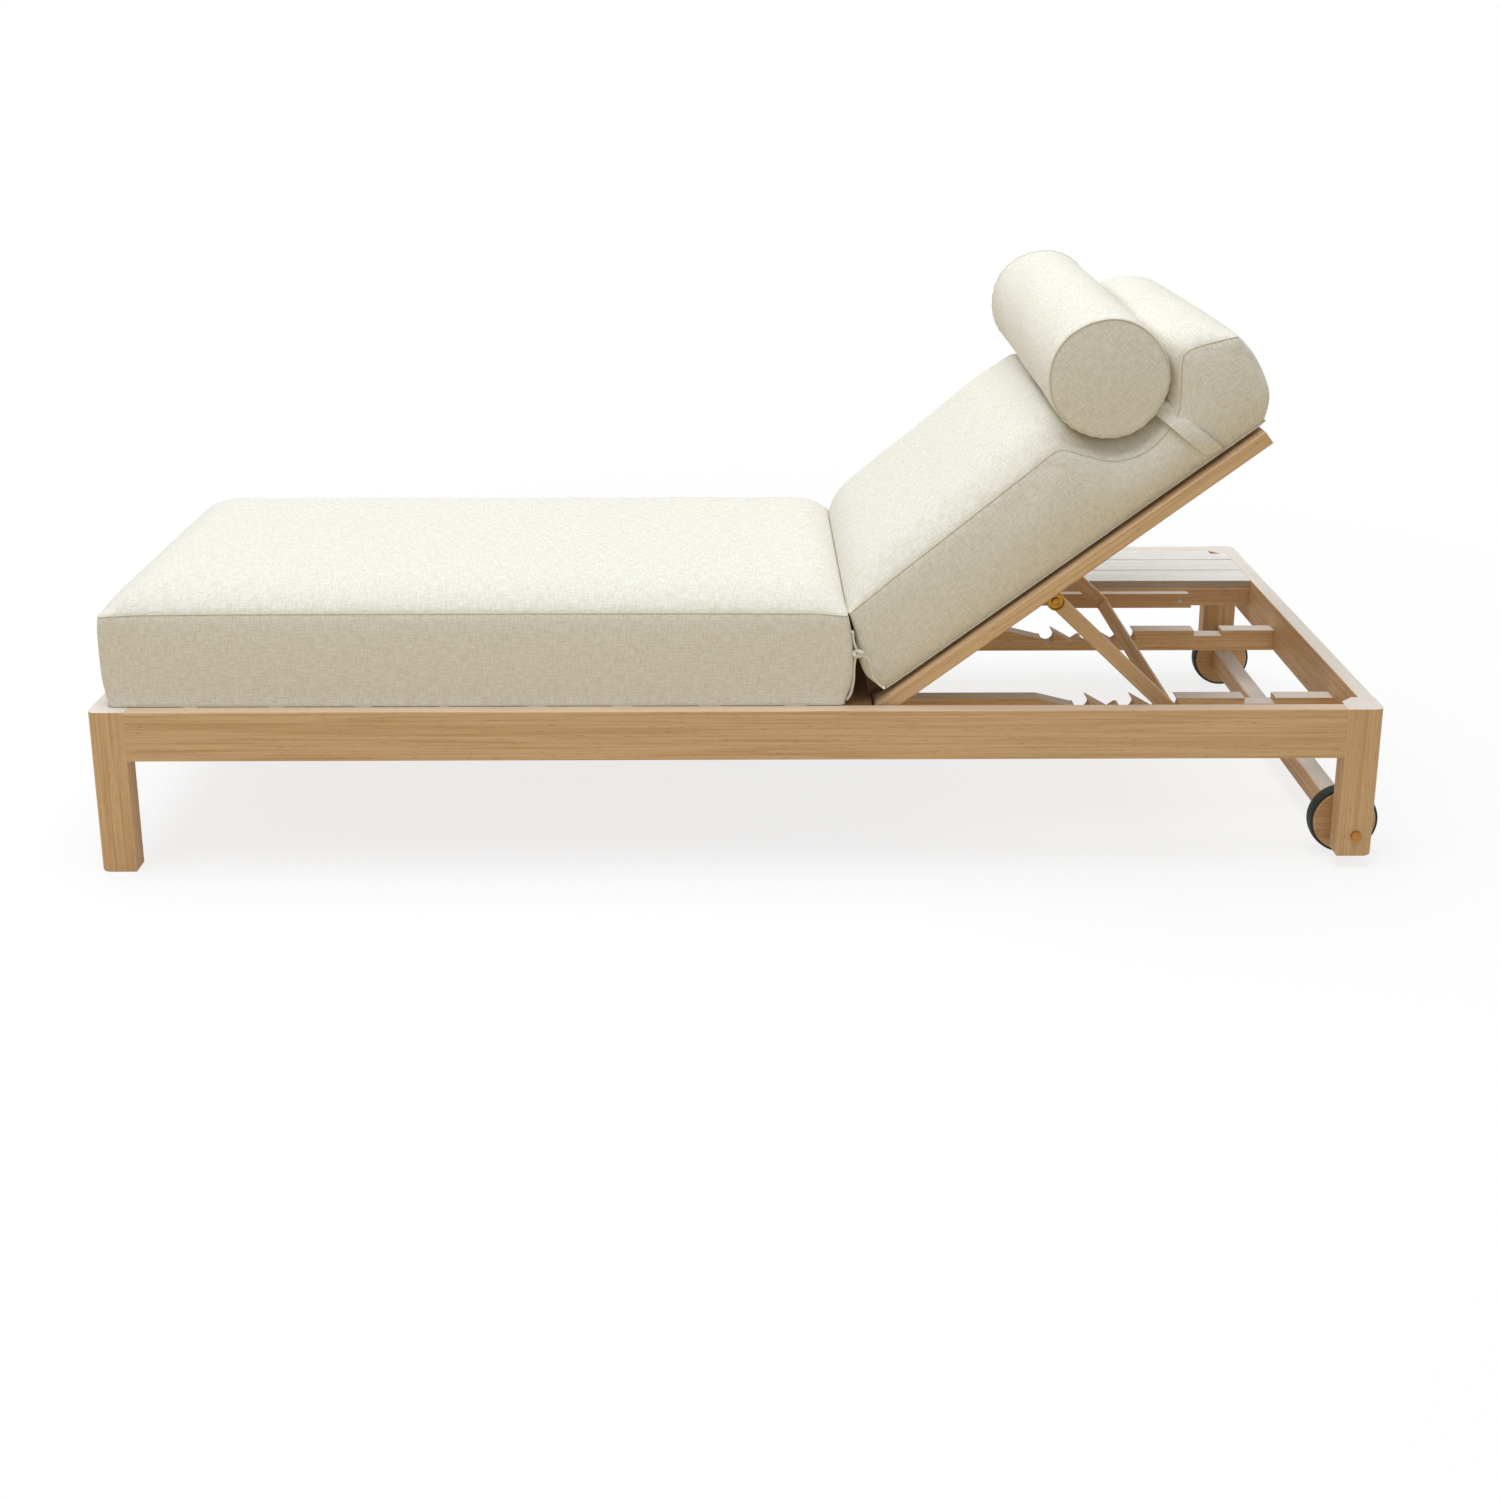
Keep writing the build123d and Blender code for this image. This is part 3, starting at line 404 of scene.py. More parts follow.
def fitting(name, base, finish, metallic, roughness, grit, tarnish):
    """A small fitting: its own colour with fine marks of a given grit in metres, and a share of
    tarnish or dust that darkens it in patches ten times as wide."""
    material, tree = new_material(name)
    here = add_node(tree, "ShaderNodeTexCoord")
    marks = add_node(tree, "ShaderNodeTexNoise", inputs={
        "Vector": here.outputs["Object"], "Scale": 1 / grit, "Detail": 3.0})
    patches = add_node(tree, "ShaderNodeTexNoise", inputs={
        "Vector": here.outputs["Object"], "Scale": 1 / (10 * grit)})
    covered = add_node(tree, "ShaderNodeMapRange", SMOOTH, {
        "Value": patches, "From Min": 0.4, "From Max": 0.8, "To Max": tarnish})
    darkened = tuple(0.45 * part for part in base)
    tone = add_node(tree, "ShaderNodeMix", COLOURS, {
        "Factor": covered, "A": full(base), "B": full(darkened)})
    dull = add_node(tree, "ShaderNodeMapRange", inputs={
        "Value": marks, "To Min": roughness, "To Max": roughness + 0.2})
    bump = add_node(tree, "ShaderNodeBump", inputs={
        "Strength": 0.2, "Distance": finish.relief, "Height": marks})
    surface = add_node(tree, "ShaderNodeBsdfPrincipled", inputs={
        "Base Color": tone, "Metallic": metallic, "Roughness": dull, "Normal": bump})
    add_node(tree, "ShaderNodeOutputMaterial", inputs={"Surface": surface})
    return material


def give(nodes, material):
    """Puts a material on CAD nodes, in place of what they came with."""
    for name in nodes:
        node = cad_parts[name]
        node.data.materials.clear()
        node.data.materials.append(material)


def found_material(name):
    """A material that an earlier operator made."""
    material = bpy.data.materials.get(name)
    if material is None:
        raise RuntimeError(f"the material {name} isn't there yet; run the finishes first")
    return material


def make_piece(name, points, faces, weave, material):
    """A new mesh object in the frame, in metres. weave holds one pair of flat fabric lengths for
    each corner of each face."""
    mesh = bpy.data.meshes.new(name)
    mesh.from_pydata(points.tolist(), [], faces)
    layer = mesh.uv_layers.new(name="weave")
    layer.data.foreach_set("uv", np.asarray(weave, np.float32).ravel())
    mesh.polygons.foreach_set("use_smooth", np.ones(len(mesh.polygons), bool))
    mesh.update()
    mesh.validate()
    piece = bpy.data.objects.new(name, mesh)
    bpy.context.scene.collection.objects.link(piece)
    mesh.materials.append(material)
    return piece


def even(low, high, step):
    """Values from low to high, an even step apart, with closer ones beside both ends."""
    # How far the two closer ones stand from an end
    first, second = 0.005, 0.013
    inner_low, inner_high = low + second, high - second
    count = max(2, int(round((inner_high - inner_low) / step)))
    inner = np.linspace(inner_low, inner_high, count + 1)
    return np.concatenate([[low, low + first], inner, [high - first, high]])


def box_net(xs, ys, zs):
    """A closed box as a net of cells: lattice places on each axis, the corners of each cell and
    the axis that each cell's panel faces. Cells of the low sides are turned, so all face out."""
    values = (xs, ys, zs)
    cells, facing = [], []
    for axis in range(3):
        a, b = (axis + 1) % 3, (axis + 2) % 3
        i, j = np.meshgrid(np.arange(len(values[a]) - 1), np.arange(len(values[b]) - 1), indexing="ij")
        for side in (0, 1):
            steps = ((0, 0), (1, 0), (1, 1), (0, 1))
            steps = steps if side else steps[::-1]
            cell = np.zeros((i.size, 4, 3), int)
            for k, (di, dj) in enumerate(steps):
                cell[:, k, a] = i.ravel() + di
                cell[:, k, b] = j.ravel() + dj
                cell[:, k, axis] = side * (len(values[axis]) - 1)
            cells.append(cell)
            facing.append(np.full(i.size, axis))
    corners = np.concatenate(cells).reshape(-1, 3)
    lattice, faces = np.unique(corners, axis=0, return_inverse=True)
    points = np.stack([np.asarray(values[k])[lattice[:, k]] for k in range(3)], axis=1)
    return points, lattice, faces.reshape(-1, 4), np.concatenate(facing)


def panel_weave(points, faces, facing):
    """Flat fabric lengths of each cell corner: the two box axes that its panel lies along."""
    corners = points[faces]
    first = np.where(facing[:, None] == 0, corners[:, :, 1], corners[:, :, 0])
    second = np.where(facing[:, None] == 2, corners[:, :, 1], corners[:, :, 2])
    return np.stack([first, second], axis=2)


def rounded_plan(x, y, half_x, half_y, radius):
    """Rounds the upright corners of a plan: each corner square is drawn onto a quarter disc, its
    points keeping their direction and taking their larger offset as their distance."""
    core_x = np.clip(x, radius - half_x, half_x - radius)
    core_y = np.clip(y, radius - half_y, half_y - radius)
    dx, dy = x - core_x, y - core_y
    reach = np.hypot(dx, dy)
    share = np.maximum(np.abs(dx), np.abs(dy)) / np.maximum(reach, 1e-9)
    return core_x, core_y, dx * share, dy * share


def inflate(piece, hold):
    """Blows the piece up as cloth for a few frames, held where it rests, and keeps the result. Each
    move is shortened to the limit times the hyperbolic tangent of its share of the limit."""
    # The limit is the furthest that a point may move, in metres
    frames, pressure, limit = 20, 4.0, 0.004
    group = piece.vertex_groups.new(name="held")
    for weight in np.unique(hold[hold > 0]):
        group.add(np.flatnonzero(hold == weight).tolist(), float(weight), "REPLACE")
    cloth = piece.modifiers.new("Cloth", "CLOTH")
    cloth.settings.quality = 5
    cloth.settings.vertex_group_mass = "held"
    cloth.settings.use_pressure = True
    cloth.settings.uniform_pressure_force = pressure
    cloth.settings.effector_weights.gravity = 0
    cloth.collision_settings.use_collision = False
    scene = bpy.context.scene
    for number in range(1, frames + 1):
        scene.frame_set(number)
    blown = piece.evaluated_get(bpy.context.evaluated_depsgraph_get()).data
    count = len(piece.data.vertices)
    start, end = np.zeros(count * 3, np.float32), np.zeros(count * 3, np.float32)
    piece.data.vertices.foreach_get("co", start)
    blown.vertices.foreach_get("co", end)
    move = (end - start).reshape(-1, 3)
    size = np.linalg.norm(move, axis=1, keepdims=True)
    move *= limit * np.tanh(size / limit) / np.maximum(size, 1e-9)
    piece.modifiers.remove(cloth)
    piece.vertex_groups.remove(group)
    piece.data.vertices.foreach_set("co", (start.reshape(-1, 3) + move).ravel())
    piece.data.update()
    scene.frame_set(1)


def finished_points(piece, count):
    """Subdivides the piece once, for good, and gives the new places of its first points."""
    smooth = piece.modifiers.new("Subdivision", "SUBSURF")
    smooth.levels = smooth.render_levels = 1
    bpy.context.view_layer.update()
    made = bpy.data.meshes.new_from_object(piece.evaluated_get(bpy.context.evaluated_depsgraph_get()))
    piece.modifiers.remove(smooth)
    old, piece.data = piece.data, made
    made.name = old.name
    bpy.data.meshes.remove(old)
    places = np.zeros(len(made.vertices) * 3, np.float32)
    made.vertices.foreach_get("co", places)
    return places.reshape(-1, 3)[:count].astype(float)


def carried(path, across, section, closed):
    """A section carried along a path: at each point its first length goes along across and its
    second along the cross product of the path's direction and across. Open ends are capped.
    Gives points, faces and the fabric lengths of the face corners."""
    path = np.asarray(path, float)
    if closed:
        ahead = np.roll(path, -1, axis=0) - np.roll(path, 1, axis=0)
    else:
        ahead = np.gradient(path, axis=0)
    ahead /= np.linalg.norm(ahead, axis=1, keepdims=True)
    across = np.broadcast_to(np.asarray(across, float), path.shape)
    across = across - (across * ahead).sum(axis=1, keepdims=True) * ahead
    across = across / np.linalg.norm(across, axis=1, keepdims=True)
    up = np.cross(ahead, across)
    section = np.asarray(section, float)
    points = path[:, None] + section[None, :, :1] * across[:, None] + section[None, :, 1:] * up[:, None]
    rows, sides = points.shape[:2]
    row = np.arange(rows if closed else rows - 1)[:, None]
    side = np.arange(sides)[None, :]
    after, beside = (row + 1) % rows, (side + 1) % sides
    quads = np.stack([row * sides + side, row * sides + beside, after * sides + beside,
                      after * sides + side], axis=2).reshape(-1, 4)
    run = np.concatenate([[0], np.cumsum(np.linalg.norm(np.diff(path, axis=0), axis=1))])
    run = np.append(run, run[-1] + np.linalg.norm(path[0] - path[-1])) if closed else run
    girth = np.concatenate([[0], np.cumsum(np.linalg.norm(
        np.roll(section, -1, axis=0) - section, axis=1))])
    low_run, high_run = run[row] + 0 * side, run[row + 1] + 0 * side
    low_girth, high_girth = girth[side] + 0 * row, girth[side + 1] + 0 * row
    weave = np.stack([low_run, low_girth, low_run, high_girth, high_run, high_girth, high_run,
                      low_girth], axis=2).reshape(-1, 2)
    faces = quads.tolist()
    if not closed:
        first, last = list(range(sides)), list(range((rows - 1) * sides, rows * sides))
        faces += [first[::-1], last]
        weave = np.concatenate([weave, section[::-1], section])
    return points.reshape(-1, 3), faces, weave


def round_section(radius, sides):
    """A circle as a closed row of points, turned so that carried faces point out."""
    turn = np.linspace(0, 2 * math.pi, sides, endpoint=False)
    return np.stack([radius * np.cos(turn), radius * np.sin(turn)], axis=1)


def flat_section(width, thick):
    """A flat strap's section with rounded edges."""
    turn = np.linspace(-math.pi / 2, math.pi / 2, 5)
    edge = np.stack([(width - thick) / 2 + thick / 2 * np.cos(turn), thick / 2 * np.sin(turn)], axis=1)
    return np.concatenate([edge, -edge])


def backrest_place(points, lean, origin=HINGE):
    """Places in the frame of points along, across and above the backrest, seen from an origin: the
    two upright lengths are turned by the backrest's slope, and the origin is added."""
    along, across, above = np.moveaxis(np.asarray(points, float), -1, 0)
    x = origin[0] + along * math.cos(lean) - above * math.sin(lean)
    z = origin[2] + along * math.sin(lean) + above * math.cos(lean)
    return np.stack([x, origin[1] + across, z], axis=-1)


def swell(distance, run):
    """How far a padded surface has risen at a distance from its seam, as a share of its crown: one
    less a share that falls off exponentially over the run."""
    return 1 - np.exp(-np.maximum(distance, 0) / run)


def add_trim(name, path, across, section, material, closed=False):
    """A seam, strap or ring: a section carried along a path, in a material that exists by now."""
    points, faces, weave = carried(path, across, section, closed)
    trim = make_piece(name, points, faces, weave, found_material(material))
    return trim


def boxed_cushion(points, foot_end, head_end, seam_line, over_line, base, size):
    """A boxed cushion from points of a box net: share along, place across and share up. Each end has
    a side view, and at each height the points share out the straight run between the two ends. The
    sides swell between the lower and upper seam and draw in between the corners, which are rounded
    in plan. The top leaves its seam steeply and levels out at the crowned line, and the bottom comes
    down from its seam to the base in the same way."""
    # How far from a seam a turned in panel, the top and the bottom have come most of their way
    tuck_run, turn_in_run = 0.007, 0.009
    top_end_run, top_side_run, bottom_end_run, bottom_side_run = 0.024, 0.030, 0.009, 0.030
    share, across, level = points.T
    run = (seam_line[-1][0] - seam_line[0][0]) / 2
    side = across.max()
    centred = (2 * share - 1) * run
    core_x, core_y, dx, dy = rounded_plan(centred, across, run, side, size.corner)
    # One on the panels, and quickly less for the points of the top and bottom inside them
    wall = (np.hypot(dx, dy) / size.corner) ** 4
    share = (core_x + dx) / (2 * run) + 0.5
    seam_at = seam_line[0][0] + share * 2 * run
    seam = np.interp(seam_at, *np.transpose(seam_line))
    hem = base + size.hem
    tall = seam - hem
    height = hem + level * tall
    start = np.interp(height, *np.transpose(foot_end)[::-1])
    stop = np.interp(height, *np.transpose(head_end)[::-1])
    along = start + share * (stop - start)
    along += level ** 2 * (seam_at - along)
    # A panel swells most half way up, and less towards its corners
    bulge = size.swelling * 4 * level * (1 - level) * wall
    middle_y = 1 - (across / side) ** 4
    middle_x = 1 - (centred / run) ** 6
    along += np.sign(centred) * bulge * np.abs(dx) / size.corner * middle_y
    y = core_y + dy + np.sign(across) * bulge * np.abs(dy) / size.corner * middle_x
    y -= np.sign(across) * size.draw_in * level * (1 - (centred / run) ** 2) * np.abs(across / side)
    inset = size.tuck * np.exp(-(1 - level) * tall / tuck_run)
    inset += size.turn_in * np.exp(-level * tall / turn_in_run)
    along -= np.sign(centred) * inset * wall * np.abs(dx) / size.corner
    y -= np.sign(across) * inset * wall * np.abs(dy) / size.corner
    end_gap, side_gap = run - np.abs(centred), side - np.abs(across)
    rise = swell(end_gap, top_end_run) * swell(side_gap, top_side_run)
    height = np.where(level >= 1, seam + (over_line(along, y) - seam) * rise, height)
    # The bottom levels out sooner than the top: its swell is drawn a quarter too far and cut off
    fall = 1.25 * swell(end_gap, bottom_end_run) * swell(side_gap, bottom_side_run)
    height = np.where(level <= 0, hem - size.hem * np.clip(fall, 0, 1), height)
    return np.stack([along, y, height], axis=1)


def seam_ring(lattice, level):
    """Lattice points of the ring round a cushion at one level, in order: by their angle, seen from
    the middle of a square that the level is drawn onto."""
    on = np.flatnonzero(lattice[:, 2] == level)
    place = lattice[on, :2]
    last = place.max(axis=0)
    rim = on[((place == 0) | (place == last)).any(axis=1)]
    x, y = ((lattice[rim, :2] - last / 2) / last).T
    return rim[np.argsort(np.arctan2(y, x), kind="stable")]


class LOUNGER_OT_teak(bpy.types.Operator):
    """Give the frame, backrest, prop and wheels their oiled teak, each board along its grain"""

    bl_idname = "lounger.teak"
    bl_label = "Oil the teak"

    def execute(self, context):
        finish = context.scene.lounger_teak
        lean = context.scene.lounger_back_cushion.lean
        turns = {"x": (0.0, 0.0, 0.0), "y": (0.0, 0.0, -math.pi / 2), "z": (0.0, math.pi / 2, 0.0),
                 "backrest": (0.0, lean, 0.0), "prop": (0.0, -finish.prop_lean, 0.0)}
        # Each state: name, boards, board and grain colours, the share of painted highlight on upper faces,
        # partly weathering, and the share of painted shade on the slats' narrow sides; the boards under
        # the gap take darker colours as painted shade
        states = (("oiled", OILED, finish.board, finish.grain, finish.oiled, 0.0),
                  ("weathered_and_lit", WEATHERED_AND_LIT, finish.board, finish.grain, finish.weathered_and_lit, 0.0),
                  ("shaded", SHADED_UNDER_GAP, finish.shaded, finish.pore, 0.0, 0.0),
                  ("pale_slat", SLATS, finish.slat, finish.slat_grain, 0.0, finish.gap_shade))
        for state, boards, board, grain, weathering_and_highlight, gap_shade in states:
            for way, nodes in boards.items():
                # Only faces along the lounger take the painted shade of the gaps, and the bearers run
                # across it
                give(nodes, teak(f"{state}_teak_{way}", turns[way], board, grain, finish, weathering_and_highlight,
                                 gap_shade if way == "x" else 0.0))
        return {"FINISHED"}


class LOUNGER_OT_fittings(bpy.types.Operator):
    """Give the pivots, bolts, screws, washers and tyres their metals and rubber"""

    bl_idname = "lounger.fittings"
    bl_label = "Finish the fittings"

    def execute(self, context):
        finish = context.scene.lounger_fittings
        # Colour, share of metal, roughness, width of its marks in metres and share of tarnish
        looks = (
            # Turned brass, lacquered: yellow, bright, with a soft highlight
            ("turned_brass", ["prop_pivot_bolts"], finish.brass, 1.0, 0.25, 0.0015, 0.3),
            # Bronze bolt heads gone brown outdoors
            ("browned_bronze", ["axle_bolts"], finish.bronze, 1.0, 0.35, 0.0015, 0.5),
            # Stainless steel, brushed by its tools
            ("stainless_steel", ["batten_screws", "hinge_bolts", "axle_washers"], finish.steel,
             1.0, 0.3, 0.001, 0.2),
            # Moulded rubber, dusty and matt
            ("moulded_rubber", ["near_tyre", "far_tyre"], finish.rubber, 0.0, 0.6, 0.002, 0.4),
        )
        for name, nodes, base, metallic, roughness, grit, tarnish in looks:
            give(nodes, fitting(name, base, finish, metallic, roughness, grit, tarnish))
        low, high = np.array(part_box("prop_pivot_bolts"))
        for name, across in (("near", low[1]), ("far", high[1])):
            self.turned_rings(name, across, (low + high) / 2, (high[2] - low[2]) / 2, finish)
        return {"FINISHED"}

    def turned_rings(self, name, across, centre, radius, finish):
        """The raised rim of a pivot's disc and the ring round the bolt in its middle: circles round
        the disc's centre, in the plane of its face."""
        turn = np.linspace(0, 2 * math.pi, 40, endpoint=False)
        circle = np.stack([np.cos(turn), 0 * turn, np.sin(turn)], axis=1)
        for part, share_out, thick in (("rim", finish.rim_share, finish.rim),
                                       ("bolt", finish.bolt_share, finish.bolt)):
            path = (centre[0], across, centre[2]) + radius * share_out * circle
            ring = add_trim(f"{name}_pivot_{part}", path, (0.0, 1.0, 0.0), round_section(thick, 8),
                            "turned_brass", closed=True)
            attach(ring, "backrest")


class LOUNGER_OT_fabric(bpy.types.Operator):
    """Make the woven fabric that the cushions are covered with"""

    bl_idname = "lounger.fabric"
    bl_label = "Weave the fabric"

    def execute(self, context):
        finish = context.scene.lounger_fabric
        woven_fabric(finish)
        seam_edge(finish)
        return {"FINISHED"}


def add_seam(name, path, across, body):
    """The folded edge of the fabric along a seam: a fine cord sunk in the surface."""
    cord = round_section(bpy.context.scene.lounger_fabric.cord, 6)
    seam = add_trim(name, path, across, cord, "folded_seam_edge", closed=True)
    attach(seam, body)


def cushion_net(run, side, tall):
    """Net of a boxed cushion: points as share along, place across and share up, and its cells."""
    points, lattice, faces, facing = box_net(even(0, run, 0.012), even(-side, side, 0.013),
                                             even(0, tall, 0.0125))
    return points / (run, 1.0, tall), lattice, faces, panel_weave(points, faces, facing)


def sewn_cover(node, body, placed, net, hold, up):
    """Makes a cushion's cover from its placed net, lets it swell, and sews its two seams."""
    points, lattice, faces, weave = net
    piece = make_piece(f"{node}_cover", placed, faces.tolist(), weave,
                       found_material("woven_acrylic_fabric"))
    inflate(piece, hold)
    places = finished_points(piece, len(points))
    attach(piece, body)
    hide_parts(node)
    for edge, level in (("lower", 0), ("upper", lattice[:, 2].max())):
        add_seam(f"{node}_{edge}_seam", places[seam_ring(lattice, level)], up, body)


class LOUNGER_OT_seat_cushion(bpy.types.Operator):
    """Make the long seat cushion, boxed, crowned and sewn round its top and base"""

    bl_idname = "lounger.seat_cushion"
    bl_label = "Make the seat cushion"

    # How far each side of the cover stands out beyond its solid, and the gap below its bottom
    overhang = 0.0125
    clearance = 0.0003

    def execute(self, context):
        size = context.scene.lounger_seat_cushion
        low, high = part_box("seat_cushion")
        side = (high.y - low.y) / 2 + self.overhang
        base = low.z + self.clearance
        net = cushion_net(size.head - size.foot, side, size.seam - size.hem)
        # Side view of the ends, as places along and heights, in metres
        head = np.array([(-0.018, 0.0), (-0.018, 0.006), (-0.008, 0.019), (-0.002, 0.045),
                         (0.0, 0.080), (-0.001, 0.115), (-0.010, 0.148)])
        foot = np.array([(0.012, 0.0), (0.008, 0.012), (0.002, 0.04), (0.0, 0.115), (0.002, 0.148)])
        seam = base + size.seam
        # The upper seam is level, and drops three or four millimetres towards the two ends
        line = [(size.foot + 0.002, seam - 0.003), (size.foot + 0.06, seam), (size.head - 0.06, seam),
                (size.head - 0.010, seam - 0.004)]
        placed = boxed_cushion(net[0], foot + (size.foot, base), head + (size.head, base), line,
                               lambda along, across: seam + size.crown, base, size)
        placed[:, 1] += BOLSTER[1]
        hold = (net[0][:, 2] <= 0).astype(float)
        sewn_cover("seat_cushion", "frame", placed, net, hold, (0.0, 0.0, 1.0))
        return {"FINISHED"}


class LOUNGER_OT_back_cushion(bpy.types.Operator):
    """Make the cushion of the backrest, slanted at its foot and pressed in under the bolster"""

    bl_idname = "lounger.back_cushion"
    bl_label = "Make the back cushion"

    # Side view along and above the backrest, in millimetres, from the lower end to the head
    foot_end = np.array([(17, 11), (12, 25), (7, 43), (4, 60), (10, 90), (23, 119), (36, 140),
                         (43, 155)]) * MM
    head_end = np.array([(733, 11), (740, 30), (752, 43), (760, 64), (768, 118), (767, 153)]) * MM
    seam_line = np.array([(43, 155), (247, 163), (440, 173), (458, 172), (473, 150), (489, 128),
                          (507, 107), (528, 96), (550, 89), (576, 89), (604, 96), (631, 108),
                          (655, 140), (683, 182), (709, 177), (767, 153)]) * MM
    # Seams' heights on both sides of the dip, which the middle of the top keeps to
    over_line = np.array([(43, 156), (247, 163), (440, 174), (683, 186), (767, 160)]) * MM
    # The bolster's circle: place of its middle along and above the backrest, and its radius
    nest = np.array([575, 216, 91.5]) * MM
    # How gently the top goes over into the nest, and how far round it the cover can't swell
    soft_edge, nest_margin = 0.004, 0.012
    # Length of the net along the backrest and its height, and how far each side of the cover stays
    # inside its solid
    net_run, net_rise, inset = 0.74, 0.130, 0.001
    # Share of the height of the sides over which the hold of the bottom fades
    held_share = 0.12

    def execute(self, context):
        size = context.scene.lounger_back_cushion
        lift, skew = context.scene.lounger_bolster.lift, context.scene.lounger_bolster.skew
        low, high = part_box("back_cushion")
        side = (high.y - low.y) / 2 - self.inset
        along, above, radius = self.nest

        def pressed(run, across):
            """The crowned line, cut by the bolster's circle: the lower of the two, with a soft edge,
            as minus the logarithm of the sum of the exponentials of minus both."""
            crowned = np.interp(run, *self.over_line.T) + size.crown
            far = (across + side) / (2 * side)
            reach = np.clip(radius ** 2 - (run - along - skew * far) ** 2, 0, None)
            middle = above + lift * far
            far_above = 1.0
            cradle = np.where(reach > 0, middle - np.sqrt(reach), far_above)
            soft = self.soft_edge
            return -soft * np.logaddexp(-crowned / soft, -cradle / soft)

        net = cushion_net(self.net_run, side, self.net_rise)
        local = boxed_cushion(net[0], self.foot_end, self.head_end, self.seam_line, pressed,
                              size.base, size)
        pinned = np.hypot(local[:, 0] - along, local[:, 2] - above) < radius + self.nest_margin
        hold = np.maximum(np.clip(1 - net[0][:, 2] / self.held_share, 0, 1), pinned)
        up = (-math.sin(size.lean), 0.0, math.cos(size.lean))
        sewn_cover("back_cushion", "backrest", backrest_place(local, size.lean), net, hold, up)
        return {"FINISHED"}


